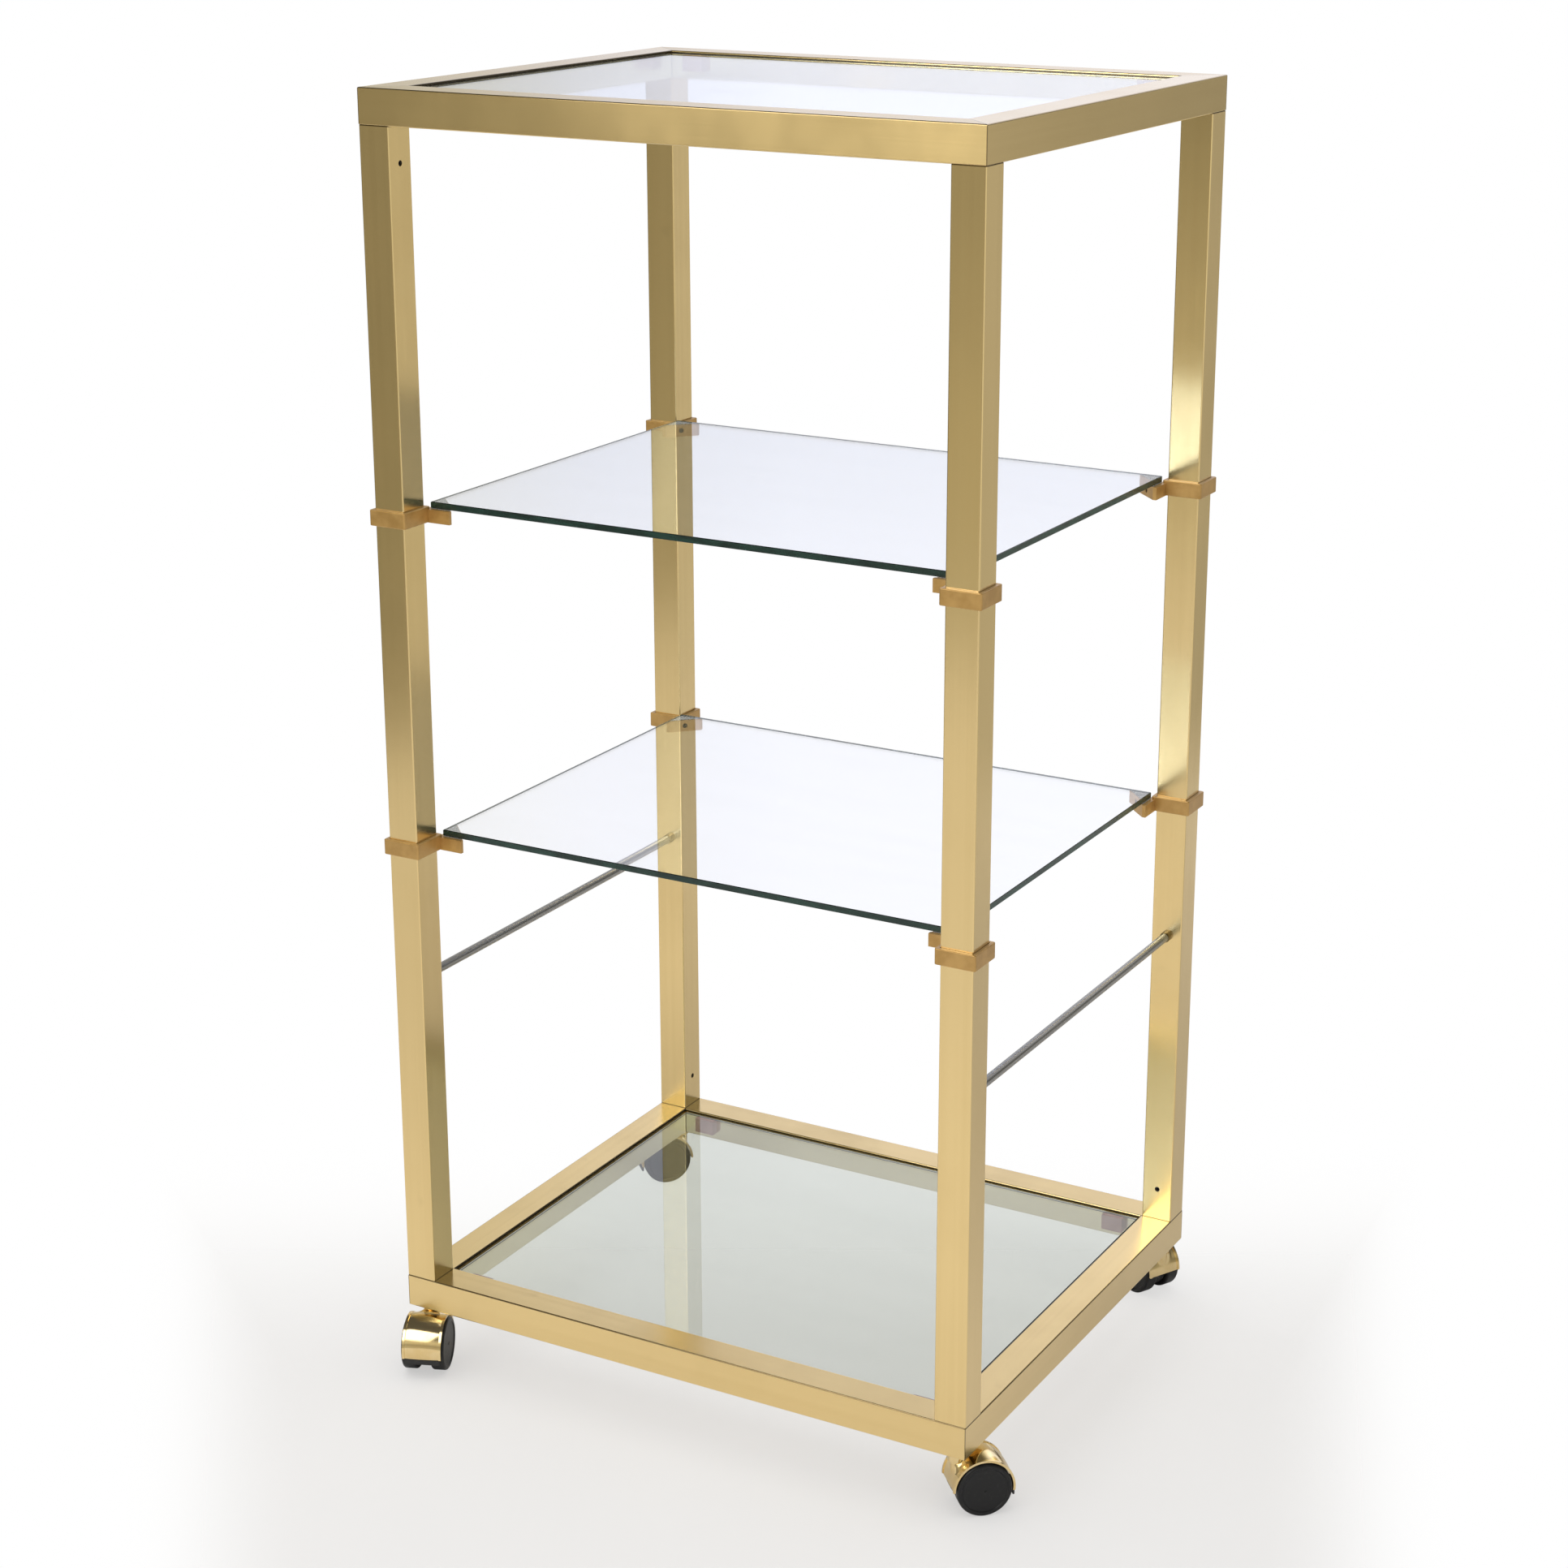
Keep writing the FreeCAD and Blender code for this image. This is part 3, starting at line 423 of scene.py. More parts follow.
def closed_grid(outer, inner):
    """Points and quads of a closed skin: the outer grid, the inner one turned round, walls at the borders."""
    rows, columns = outer.shape[:2]
    out = np.arange(rows * columns).reshape(rows, columns)
    back = out + rows * columns
    face = np.stack([out[:-1, :-1], out[:-1, 1:], out[1:, 1:], out[1:, :-1]], -1).reshape(-1, 4)
    walls = [np.stack([out[:-1, 0], out[1:, 0], back[1:, 0], back[:-1, 0]], -1),
             np.stack([out[:-1, -1], back[:-1, -1], back[1:, -1], out[1:, -1]], -1),
             np.stack([out[0, :-1], back[0, :-1], back[0, 1:], out[0, 1:]], -1),
             np.stack([out[-1, :-1], out[-1, 1:], back[-1, 1:], back[-1, :-1]], -1)]
    quads = np.concatenate([face, face[:, ::-1] + rows * columns, *walls])
    return np.concatenate([outer.reshape(-1, 3), inner.reshape(-1, 3)]), quads


def new_piece(name, points, faces, finish, crease):
    """A mesh object at the origin, smooth except along edges that turn by more than crease degrees."""
    mesh = bpy.data.meshes.new(name)
    mesh.from_pydata(points.tolist(), [], faces)
    mesh.shade_smooth()
    mesh.set_sharp_from_angle(angle=math.radians(crease))
    mesh.materials.append(finish)
    return into_scene(name, mesh)


def hood_crown(corner):
    """The skin of one hood, on the angle round the axle and the share of the width, in its place."""
    stem, axle = PLACES[f"caster_{corner}_swivel"], PLACES[f"caster_{corner}_wheel_left_spin"]
    trail = np.hypot(*(axle - stem)[:2])
    heading = np.append((axle - stem)[:2] / trail, 0.0)
    along_axle = np.array([-heading[1], heading[0], 0.0])
    angle, share = np.meshgrid(np.linspace(SKIRT_ANGLE, STEM_ANGLE, CROWN_ROWS),
                               np.linspace(-1.0, 1.0, CROWN_COLUMNS), indexing="ij")
    turn, aside = np.radians(angle), (share * SHELL_HALF)[..., None] * along_axle

    def wrap(radius):
        """Axle + radius * cosine along the heading + the place across the width + radius * sine upwards."""
        ahead = (radius * np.cos(turn))[..., None] * heading
        return axle + ahead + aside + (radius * np.sin(turn))[..., None] * UP

    inner = wrap(np.full_like(angle, SKIN_INSIDE))
    points, quads = closed_grid(wrap(crown_radius(angle, share, trail)), inner)
    piece = new_piece(f"hood_crown_{corner}", points, quads.tolist(), HOOD_FINISH, CROWN_CREASE)
    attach(piece, f"caster_{corner}")
    return piece


for corner in CORNERS:
    print(hood_crown(corner).name, "on the caster at", PLACES[f"caster_{corner}_swivel"][:2])

# %% [markdown]
# ## Float glass
# A pane is clear through its face and dark green through its edge, because light that enters an edge crosses
# the whole width of the sheet and loses its red on the way. Tracing that absorption needs many bounces. Here
# the shader asks which way a face points: flat faces transmit, edge faces keep a dark green body with a
# gloss, and the seamed corners between them, which are ground, stay nearly black. The two panes in the frames
# have paler edges, because the brass round them lights them up. Lamps shine straight through a pane by a mix
# with a transparent shader for shadow rays, so the floor below stays bright. A little dust and a few wiping
# marks sit in the roughness.

# %% Glass
# Each pair of tones is the paler and the deeper one of a face, or the deeper and the paler one of an edge.
SHELF_CLEAR = ((0.925, 0.928, 0.945), (0.905, 0.908, 0.925))
SHELF_EDGE = ((0.006, 0.026, 0.019), (0.014, 0.056, 0.040))
TOP_CLEAR = ((0.930, 0.925, 0.922), (0.910, 0.905, 0.902))
TOP_EDGE = ((0.30, 0.31, 0.26), (0.36, 0.37, 0.31))
# The base pane's face tones are darker than the others: partly its own green tint, partly painted shade that
# stands in for the floor's shadow seen through it.
BASE_TINT_AND_SHADE = ((0.680, 0.705, 0.650), (0.660, 0.685, 0.630))
BASE_EDGE = ((0.30, 0.31, 0.24), (0.36, 0.37, 0.29))
ARRIS_BLACK = (0.002, 0.005, 0.004)
EDGE_LEVEL, ARRIS_LEVEL = (0.80, 0.90), (0.40, 0.60)
EDGE_SEEN_THROUGH = 0.18


def float_glass(name, clear_tones, edge_tones):
    """Clear sheet with coloured edges: flat faces, seamed arrises and edges differ in how level they are."""
    material, tree, shader = start_material(name)
    normal = add(tree, "ShaderNodeNewGeometry").outputs["True Normal"]
    level = maths(tree, "ABSOLUTE", add(tree, "ShaderNodeSeparateXYZ", Vector=normal).outputs["Z"])
    edge = falling(tree, level, *EDGE_LEVEL)
    arris = maths(tree, "MULTIPLY", edge, fit(tree, level, *ARRIS_LEVEL))
    wipe = speckle(tree, (7.0, 30.0, 30.0), detail=4.0, roughness=0.6, turn=(0, 0, 0.5))
    streak = speckle(tree, (40.0, 40.0, 160.0), detail=3.0)
    rim = tint(tree, fit(tree, streak, 0.35, 0.65), *edge_tones)
    rim = tint(tree, arris, rim, ARRIS_BLACK)
    clear = tint(tree, fit(tree, wipe, 0.3, 0.8), *clear_tones)
    fill(tree, shader.inputs["Base Color"], tint(tree, edge, clear, rim))
    fill(tree, shader.inputs["Transmission Weight"], fit(tree, edge, 0.0, 1.0, 1.0, EDGE_SEEN_THROUGH))
    wiped = fit(tree, wipe, 0.55, 0.85, to_high=0.05)
    fill(tree, shader.inputs["Roughness"], wander(tree, edge, spread=0.22, base=wiped))
    steady(shader, IOR=1.52)
    rays = add(tree, "ShaderNodeLightPath").outputs
    through = maths(tree, "MAXIMUM", rays["Is Shadow Ray"], rays["Is Diffuse Ray"])
    open_air = add(tree, "ShaderNodeBsdfTransparent", Color=(1, 1, 1, 1))
    both = add(tree, "ShaderNodeMixShader", i0=through, i1=shader.outputs[0], i2=open_air.outputs[0])
    fill(tree, tree.nodes["Material Output"].inputs["Surface"], both.outputs[0])
    return material


dress(float_glass("shelf_glass", SHELF_CLEAR, SHELF_EDGE), "lower_shelf_glass", "upper_shelf_glass")
dress(float_glass("top_pane_glass", TOP_CLEAR, TOP_EDGE), "top_glass")
dress(float_glass("base_pane_glass", BASE_TINT_AND_SHADE, BASE_EDGE), "base_glass")

# %% [markdown]
# ## Clear pads and glass rests
# Between each lug and its shelf lies a thin pad of clear vinyl, and the panes in the two frames rest on small
# tabs. Vinyl is soft and slightly milky, so it transmits with some blur. The tabs are moulded and pinkish.

# %% Pads and rests
VINYL_DEEP, VINYL_PALE = (0.55, 0.57, 0.56), (0.78, 0.80, 0.79)
PEBBLES_A_CLOUD = 9


def clear_vinyl():
    """Milky clear vinyl: mostly transmission, blurred by a fine cloud."""
    material, tree, shader = start_material("clear_vinyl")
    cloud = speckle(tree, (260.0, 260.0, 260.0), detail=4.0)
    fill(tree, shader.inputs["Base Color"], tint(tree, cloud, VINYL_DEEP, VINYL_PALE))
    fill(tree, shader.inputs["Roughness"], fit(tree, cloud, *NOISE_SPAN, to_low=0.18, to_high=0.36))
    steady(shader, Transmission_Weight=0.7, IOR=1.5)
    return material


def moulded(name, deep, pale, blur, grain):
    """Moulded plastic: two close tones in clouds, and a skin with so many pebbles a metre as grain says."""
    material, tree, shader = start_material(name)
    pebble = speckle(tree, (grain,) * 3, detail=3.0)
    cloud = speckle(tree, (grain / PEBBLES_A_CLOUD,) * 3, detail=4.0)
    fill(tree, shader.inputs["Base Color"], tint(tree, fit(tree, cloud, *NOISE_SPAN), deep, pale))
    fill(tree, shader.inputs["Roughness"], wander(tree, cloud, spread=0.16, base=blur))
    emboss(tree, shader, pebble, strength=0.12, depth=0.0002)
    return material


dress(clear_vinyl(), "lower_shelf_pads", "upper_shelf_pads")
rest_plastic = moulded("rest_plastic", deep=(0.36, 0.22, 0.19), pale=(0.46, 0.30, 0.26), blur=0.40,
                       grain=700.0)
dress(rest_plastic, "base_glass_tabs", "top_glass_tabs")

# %% [markdown]
# ## Wheels and chassis
# The wheels and the web between them are black nylon. Black plastic is never quite black: it is a dark grey
# with a soft gloss, and a wheel that has rolled carries grey dust on its tread. The chassis hides under the
# hood and gets the same plastic with a rougher skin.

# %% Black plastic
NYLON_BLACK, NYLON_DUST = (0.008, 0.008, 0.0085), (0.045, 0.044, 0.041)


def wheel_nylon():
    """Dark nylon with dust: grey settles by a noise that is finer than the wheel."""
    material, tree, shader = start_material("wheel_nylon")
    settled = speckle(tree, (240.0, 240.0, 240.0), detail=5.0, roughness=0.65)
    dust = fit(tree, settled, 0.52, 0.80, to_high=0.45)
    fill(tree, shader.inputs["Base Color"], tint(tree, dust, NYLON_BLACK, NYLON_DUST))
    fill(tree, shader.inputs["Roughness"], wander(tree, dust, spread=0.35, base=0.34))
    steady(shader, Specular_IOR_Level=0.35)
    emboss(tree, shader, speckle(tree, (1500.0, 1500.0, 1500.0)), strength=0.08, depth=0.0002)
    return material


chassis_nylon = moulded("chassis_nylon", deep=(0.010, 0.010, 0.010), pale=(0.022, 0.021, 0.020), blur=0.42,
                        grain=900.0)
dress(wheel_nylon(), *[f"caster_{corner}_wheel_{side}" for corner in CORNERS for side in ("left", "right")])
dress(chassis_nylon, *[f"caster_{corner}_chassis" for corner in CORNERS])

# %% [markdown]
# ## Steel and aluminium
# The two side rods are drawn steel with ferrules of dark bronze, the screws are blackened socket screws, and
# the blocks hidden in the tube corners are plain aluminium. Drawn rod carries faint lines along its length,
# here Y, so its noise has many lumps a metre across the rod and few along it.

# %% Bare metals
def bare_metal(name, deep, pale, blur, scale):
    """Metal with two close tones and hair lines stretched by scale."""
    material, tree, shader = start_material(name)
    lines = speckle(tree, scale, detail=3.0)
    fill(tree, shader.inputs["Base Color"], tint(tree, fit(tree, lines, *NOISE_SPAN), deep, pale))
    fill(tree, shader.inputs["Roughness"], wander(tree, lines, spread=0.14, base=blur))
    steady(shader, Metallic=1.0)
    emboss(tree, shader, lines, strength=0.03, depth=0.0002)
    return material


ROD_FINISH = bare_metal("drawn_steel", deep=(0.32, 0.316, 0.308), pale=(0.42, 0.414, 0.402), blur=0.26,
                        scale=(900.0, 9.0, 900.0))
dark_bronze = bare_metal("dark_bronze", deep=(0.15, 0.105, 0.04), pale=(0.26, 0.185, 0.075), blur=0.20,
                         scale=(60.0, 1400.0, 60.0))
black_screw = bare_metal("black_screw", deep=(0.022, 0.020, 0.019), pale=(0.045, 0.042, 0.040), blur=0.34,
                         scale=(900.0, 900.0, 900.0))
plain_steel = bare_metal("plain_steel", deep=(0.42, 0.41, 0.40), pale=(0.55, 0.54, 0.52), blur=0.24,
                         scale=(500.0, 500.0, 40.0))
plain_aluminium = bare_metal("plain_aluminium", deep=(0.60, 0.61, 0.62), pale=(0.72, 0.73, 0.74), blur=0.34,
                             scale=(300.0, 300.0, 30.0))
dress(dark_bronze, "rod_ferrules")
dress(black_screw, "post_set_screws", "lower_clamp_screws", "upper_clamp_screws")
dress(plain_steel, "caster_stems", *[f"caster_{corner}_axle" for corner in CORNERS])
dress(plain_aluminium, "base_corner_blocks", "top_corner_blocks", "post_base_plugs", "post_top_plugs")

# %% [markdown]
# ## Side rods
# A side rod in the photograph is stouter than its solid. A primitive cylinder would do, but its edges would
# be sharp. So the rod is a profile carried round an axis: four rings, of which the end ones are drawn in to
# break the edge, and a flat face at each end, just inside the ferrules. It is shown in place of the solid.

# %% Side rods
ROD_ROUND, ROD_BREAK, ROD_SIDES, ROD_CREASE = 0.0043, 0.0005, 40, 30
FERRULE_LENGTH, FERRULE_OVERLAP = 0.0060, 0.0012


def side_rod(side):
    """Circles about the solid's axis, along Y: x and z are the radius times the cosine and sine of a turn."""
    middle = sum(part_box(f"{side}_rod"), Vector()) / 2
    inset = FERRULE_LENGTH - FERRULE_OVERLAP
    start, end = [ferrule.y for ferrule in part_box("rod_ferrules")]
    start, end = start + inset, end - inset
    along = np.array([start, start + ROD_BREAK, end - ROD_BREAK, end])[:, None]
    radius = np.array([ROD_ROUND - ROD_BREAK, ROD_ROUND, ROD_ROUND, ROD_ROUND - ROD_BREAK])[:, None]
    turn = np.linspace(0.0, 2.0 * math.pi, ROD_SIDES, endpoint=False)[None, :]
    x, y, z = middle.x + radius * np.cos(turn), along + 0.0 * turn, middle.z + radius * np.sin(turn)
    points = np.stack([x, y, z], -1).reshape(-1, 3)
    ring = np.arange(len(points)).reshape(-1, ROD_SIDES)
    beside = np.roll(ring, -1, axis=1)
    quads = np.stack([ring[:-1], ring[1:], beside[1:], beside[:-1]], -1).reshape(-1, 4)
    faces = [*quads.tolist(), ring[0].tolist(), ring[-1, ::-1].tolist()]
    piece = new_piece(f"side_rod_{side}", points, faces, ROD_FINISH, ROD_CREASE)
    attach(piece, "frame")
    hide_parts(f"{side}_rod")
    return piece, end - start


for side in ("left", "right"):
    piece, length = side_rod(side)
    print(piece.name, round(length, 4), "m long,", 2 * ROD_ROUND, "m across")

# %% [markdown]
# ## Floor
# The etagere stood on a strip of pale paper that runs away from the camera. A plane does for that. Under the
# object and just in front of it, it takes the contact shadows, and on all four sides it melts into white, as
# a sweep does when its curve is lit evenly. Only rays that come from the camera, or through glass, see it
# melt: the metal still mirrors a real floor, which is brightest near the camera and dimmer further back.

# %% Where the paper lies
# Distances are in metres from the floor centre, to the right and away as the camera sees them. A side is its
# slope and its offset, and the other pairs are where a soft edge starts and where it ends.
LEFT_SIDE, RIGHT_SIDE, SIDE_EDGE = (-0.1777, -0.5238), (0.1382, 0.4817), (-0.03, 0.16)
STRAIGHT_BEFORE = -0.44
FAR_MELT, NEAR_MELT = (-0.15, 0.45), (-1.05, -0.50)
LEFT_END, RIGHT_END, FAR_END = (-2.5, -2.0), (1.5, 2.0), (3.6, 4.6)


def view_axes(tree):
    """Right and away as the camera sees them on the level: x and y turned by the camera's heading."""
    x, y = axes(tree, "Object")[:2]
    cosine, sine = math.cos(CAMERA_TURN), math.sin(CAMERA_TURN)
    right = maths(tree, "ADD", maths(tree, "MULTIPLY", x, cosine), maths(tree, "MULTIPLY", y, sine))
    away = maths(tree, "ADD", maths(tree, "MULTIPLY", x, -sine), maths(tree, "MULTIPLY", y, cosine))
    return right, away


def off_the_paper(tree, right, away):
    """1 past the lit paper, 0 on it: a side lies at slope * away + offset, and both ends across the view."""
    depth = maths(tree, "MAXIMUM", away, STRAIGHT_BEFORE)
    left_side = maths(tree, "MULTIPLY_ADD", depth, *LEFT_SIDE)
    right_side = maths(tree, "MULTIPLY_ADD", depth, *RIGHT_SIDE)
    past_left = fit(tree, maths(tree, "SUBTRACT", left_side, right), *SIDE_EDGE)
    past_right = fit(tree, maths(tree, "SUBTRACT", right, right_side), *SIDE_EDGE)
    far_and_near = maths(tree, "MAXIMUM", fit(tree, away, *FAR_MELT), falling(tree, away, *NEAR_MELT))
    return maths(tree, "MAXIMUM", far_and_near, maths(tree, "MAXIMUM", past_left, past_right))


def off_the_floor(tree, right, away):
    """1 past the outer border of the whole floor, 0 on it."""
    beside = maths(tree, "MAXIMUM", fit(tree, right, *RIGHT_END), falling(tree, right, *LEFT_END))
    return maths(tree, "MAXIMUM", beside, fit(tree, maths(tree, "ABSOLUTE", away), *FAR_END))


print("behind the object the paper melts away over", round(FAR_MELT[1] - FAR_MELT[0], 2), "m")

# %% Floor
PAPER_HALF = 7.0
PAPER_DEEP, PAPER_PALE, PAPER_DIM = (0.875, 0.862, 0.846), (0.895, 0.882, 0.866), (0.60, 0.59, 0.58)
GLOW, GLOW_SHARE = (0.845, 0.835, 0.825, 1), 0.6
SLANT, SLANT_EDGE, BACK_EDGE = 0.5, (-0.8, 0.7), (0.4, 1.0)
FAR_LEFT_EDGE, NEAR_EDGE = (-1.3, -0.3), (-1.7, -0.6)


def dim_places(tree, right, away):
    """How dim the mirrored floor is: more so behind the object on a slant, and far to the left."""
    aslant = fit(tree, maths(tree, "MULTIPLY_ADD", right, SLANT, away), *SLANT_EDGE)
    behind = maths(tree, "MULTIPLY", aslant, fit(tree, away, *BACK_EDGE, to_low=1.0, to_high=0.2))
    far_left = fit(tree, right, *FAR_LEFT_EDGE, to_low=0.6, to_high=0.0)
    beside = maths(tree, "MULTIPLY", far_left, fit(tree, away, *NEAR_EDGE, to_low=0.45, to_high=1.0))
    return maths(tree, "MAXIMUM", behind, beside)


def paper_floor():
    """A level square of faintly mottled paper that melts into white on all sides of the object."""
    corners = np.array([(-1, -1, 0), (1, -1, 0), (1, 1, 0), (-1, 1, 0)], float) * PAPER_HALF
    mesh = bpy.data.meshes.new("floor")
    mesh.from_pydata(corners.tolist(), [], [(0, 1, 2, 3)])
    floor = into_scene("floor", mesh)
    material, tree, shader = start_material("floor_paper")
    right, away = view_axes(tree)
    rays = add(tree, "ShaderNodeLightPath").outputs
    mottle = fit(tree, speckle(tree, (3.0, 3.0, 3.0), detail=5.0), *NOISE_SPAN)
    mirrored = maths(tree, "SUBTRACT", rays["Is Glossy Ray"], rays["Is Transmission Ray"])
    dimmer = maths(tree, "MULTIPLY", mirrored, dim_places(tree, right, away))
    paper = tint(tree, dimmer, tint(tree, mottle, PAPER_DEEP, PAPER_PALE), PAPER_DIM)
    fill(tree, shader.inputs["Base Color"], paper)
    steady(shader, Roughness=0.9, Specular_IOR_Level=0.1)
    seen = maths(tree, "MAXIMUM", rays["Is Camera Ray"], rays["Is Transmission Ray"])
    glow = add(tree, "ShaderNodeEmission", Color=GLOW)
    glow_share = maths(tree, "MULTIPLY", seen, GLOW_SHARE)
    lit = add(tree, "ShaderNodeMixShader", i0=glow_share, i1=shader.outputs[0], i2=glow.outputs[0])
    melt = maths(tree, "MULTIPLY", seen, off_the_paper(tree, right, away))
    gone = maths(tree, "MAXIMUM", melt, off_the_floor(tree, right, away))
    open_air = add(tree, "ShaderNodeBsdfTransparent")
    both = add(tree, "ShaderNodeMixShader", i0=gone, i1=lit.outputs[0], i2=open_air.outputs[0])
    fill(tree, tree.nodes["Material Output"].inputs["Surface"], both.outputs[0])
    material.cycles.emission_sampling = "NONE"
    mesh.materials.append(material)
    return floor


print(paper_floor().name, "laid")

# %% [markdown]
# ## Studio
# Polished metal shows the room more than it shows itself, so the room needs a shape. Reading the brightness
# along each post gives that shape, because every height of a post mirrors another direction. Below the
# horizon the room is dark beside the paper in front, with one bright patch low on the front left, grey on the
# right, and white behind the object. Above it the room is dim, with a bright wall at the back. Dim parts of
# such a room are warm and bright ones cool. Matt surfaces take an even light from the room instead of its
# pattern, which only a mirror would show. Brass that mirrors brass would come out orange, where a bright
# photograph shows cream, so what is mirrored twice is lifted and cooler.
#
# Two lamps do the rest. A soft box stands to the left of the camera. Its lower end dies away, so that its
# mirror image on a post has no hard foot. A wide ceiling lamp, which the metal doesn't mirror, lights the
# paper evenly.

# %% Tables of the room
# Both tables go once round the horizon, from straight behind the object by its left, its front and its right,
# as pairs of a share of the turn and a brightness. Between the two tones the warm colour gives way to a cooler
# one.
BELOW = ((0.0, 0.90), (0.039, 1.0), (0.125, 1.0), (0.15, 0.45), (0.18, 0.20), (0.30, 0.18), (0.375, 0.25),
         (0.411, 0.27), (0.427, 0.44), (0.434, 0.15), (0.443, 0.15), (0.5, 0.40), (0.58, 0.72), (0.70, 0.85),
         (0.80, 0.66), (0.885, 0.52), (0.897, 0.56), (0.911, 0.78), (0.921, 0.68), (0.929, 0.38),
         (0.9355, 0.35), (0.9365, 0.30), (0.958, 0.36), (1.0, 0.90))
ABOVE = ((0.0, 0.85), (0.05, 0.78), (0.083, 0.72), (0.10, 0.46), (0.112, 0.32), (0.25, 0.20), (0.42, 0.28),
         (0.5, 0.36), (0.75, 0.26), (0.885, 0.06), (0.917, 0.06), (0.944, 0.45), (0.972, 0.80), (1.0, 0.85))
WARM, COOL, WHITE = (1.0, 0.965, 0.80), (0.92, 0.93, 1.02), (1.0, 1.0, 1.0)
TWICE, CEILING, MATT_LIGHT = (1.20, 1.42, 1.85), (0.10, 0.10, 0.10), (0.60, 0.60, 0.60)
BELOW_TONES, ABOVE_TONES = (0.40, 0.85), (0.35, 0.60)


def round_the_room(tree, turn, table):
    """Brightness from a table of (share of a turn, brightness)."""
    node = add(tree, "ShaderNodeValToRGB", Fac=turn)
    ramp = node.color_ramp
    while len(ramp.elements) < len(table):
        ramp.elements.new(0.5)
    for element, (place, level) in zip(ramp.elements, table):
        element.position, element.color = place, (level, level, level, 1)
    return node.outputs[0]


def vector_maths(tree, operation, **inputs):
    """One Vector Math node: the operation on its named or numbered inputs."""
    return add(tree, "ShaderNodeVectorMath", {"operation": operation}, **inputs).outputs[0]


def toned(tree, level, low, high, dim, bright):
    """The level times a colour: dim where the level is below low, bright where it is above high."""
    return vector_maths(tree, "MULTIPLY", i0=level, i1=tint(tree, fit(tree, level, low, high), dim, bright))


print("room with", len(BELOW), "and", len(ABOVE), "stops")

# %% World
# A height is the z of a direction: -1 is straight down, 0 the horizon and 1 straight up.
HORIZON, CEILING_HEIGHT = (-0.06, 0.05), (0.40, 0.70)
PATCH_START, PATCH_END, PATCH_HEIGHT, PATCH_GAIN = (0.430, 0.436), (0.447, 0.455), (-0.19, -0.09), 5.0
FOOT_HEIGHT, FOOT_GAIN = (0.10, 0.18), 1.45
HEAD_HEIGHT, HEAD_TURN, HEAD_BEHIND = (0.13, 0.36), (0.085, 0.10), 0.6


def lower_ring(tree, turn, z):
    """The room below the horizon: its table, and a patch on the front left that is brighter further down."""
    ring = toned(tree, round_the_room(tree, turn, BELOW), *BELOW_TONES, WARM, WHITE)
    front_left = maths(tree, "MULTIPLY", fit(tree, turn, *PATCH_START), falling(tree, turn, *PATCH_END))
    nearer = maths(tree, "MULTIPLY_ADD", front_left, fit(tree, z, *PATCH_HEIGHT, PATCH_GAIN, 0.0), 1.0)
    return vector_maths(tree, "SCALE", Vector=ring, Scale=nearer)


def upper_ring(tree, turn, z):
    """The room above the horizon: its table, brighter at the foot and at the head, under a plain ceiling."""
    wall = toned(tree, round_the_room(tree, turn, ABOVE), *ABOVE_TONES, WARM, COOL)
    foot = fit(tree, z, *FOOT_HEIGHT, FOOT_GAIN, 1.0)
    head = fit(tree, turn, *HEAD_TURN, HEAD_BEHIND, 1.0)
    gain = maths(tree, "MULTIPLY_ADD", fit(tree, z, *HEAD_HEIGHT), head, foot)
    wall = vector_maths(tree, "SCALE", Vector=wall, Scale=gain)
    return tint(tree, fit(tree, z, *CEILING_HEIGHT), wall, CEILING)


def twice_mirrored(tree):
    """1 for a ray that at least two shiny surfaces have turned, which Glossy Depth counts, 0 otherwise."""
    return maths(tree, "GREATER_THAN", add(tree, "ShaderNodeLightPath").outputs["Glossy Depth"], 1.5)


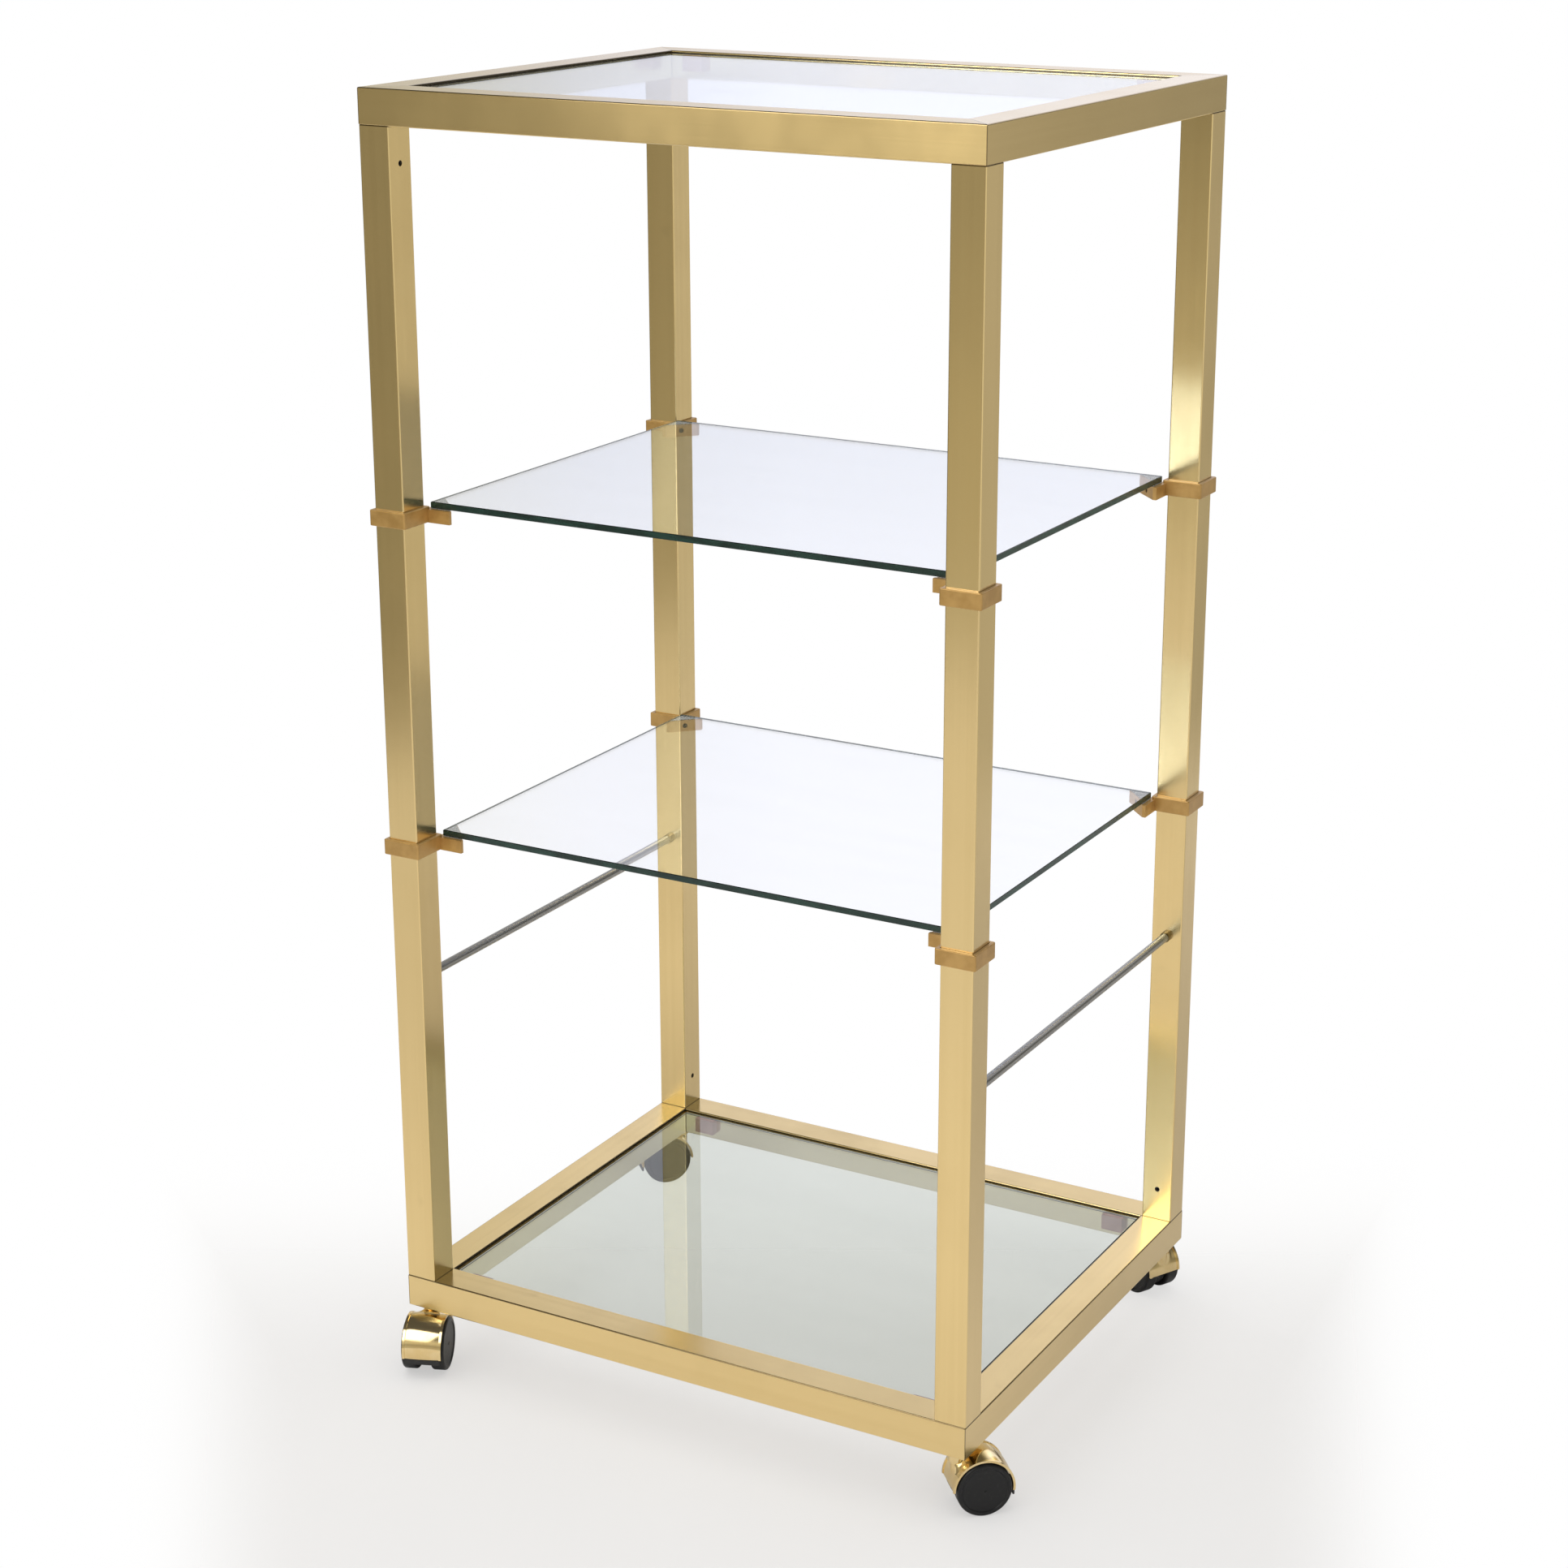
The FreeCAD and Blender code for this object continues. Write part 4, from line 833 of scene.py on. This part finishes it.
def studio_world():
    """White where it is seen directly, the two rings where it is mirrored, an even light on matt faces."""
    world = bpy.data.worlds.new("studio")
    world.use_nodes = True
    tree = world.node_tree
    x, y, z = axes(tree, "Generated")
    bearing = maths(tree, "ARCTAN2", x, maths(tree, "MULTIPLY", y, -1.0))
    turn = maths(tree, "MULTIPLY_ADD", bearing, 0.5 / math.pi, 0.5)
    room = tint(tree, fit(tree, z, *HORIZON), lower_ring(tree, turn, z), upper_ring(tree, turn, z))
    rays = add(tree, "ShaderNodeLightPath").outputs
    unmirrored = maths(tree, "LESS_THAN", rays["Glossy Depth"], 0.5)
    lifted = vector_maths(tree, "MULTIPLY", i0=room, i1=TWICE)
    shown = tint(tree, unmirrored, tint(tree, twice_mirrored(tree), room, lifted), WHITE)
    light = tint(tree, rays["Is Diffuse Ray"], shown, MATT_LIGHT)
    fill(tree, tree.nodes["Background"].inputs["Color"], light)
    bpy.context.scene.world = world
    return world


print(studio_world().name, "lit")

# %% Lamps
def soft_box(name, place, target, width, height, power, mirrored, fade=0.0):
    """A rectangle of light at place that faces target. It shows in metal and glass, or lights the floor. fade
    is the share of its height over which the lower end dies away."""
    light = bpy.data.lights.new(name, "AREA")
    light.shape, light.size, light.size_y, light.energy = "RECTANGLE", width, height, power
    lamp = into_scene(name, light)
    lamp.location = place
    lamp.rotation_euler = (Vector(target) - Vector(place)).to_track_quat("-Z", "Y").to_euler()
    light.use_nodes = True
    tree = light.node_tree
    emission = tree.nodes["Emission"].inputs
    fill(tree, emission["Color"], tint(tree, twice_mirrored(tree), WHITE, TWICE))
    if fade:
        place_on_box = add(tree, "ShaderNodeNewGeometry").outputs["Parametric"]
        rise = add(tree, "ShaderNodeSeparateXYZ", Vector=place_on_box).outputs["Y"]
        fill(tree, emission["Strength"], fit(tree, rise, 0.0, fade))
    lamp.visible_glossy = mirrored
    lamp.visible_diffuse = not mirrored
    print(name, power, "W over", width, "by", height, "m")


soft_box("camera_left_box", place=(-0.50, -2.14, 2.16), target=(0.0, 0.0, 1.29), width=1.7, height=2.3,
         power=36.0, mirrored=True, fade=0.234)
soft_box("ceiling_box", place=(-0.9, -1.1, 3.8), target=(-0.9, -1.1, 0.0), width=5.5, height=5.0, power=100.0,
         mirrored=False)

# %% [markdown]
# ## Finish
# The picture is shown through the plain Standard curve, so a colour that was measured is a colour that is
# seen.

# %% Finish
bpy.context.scene.view_settings.view_transform = "Standard"
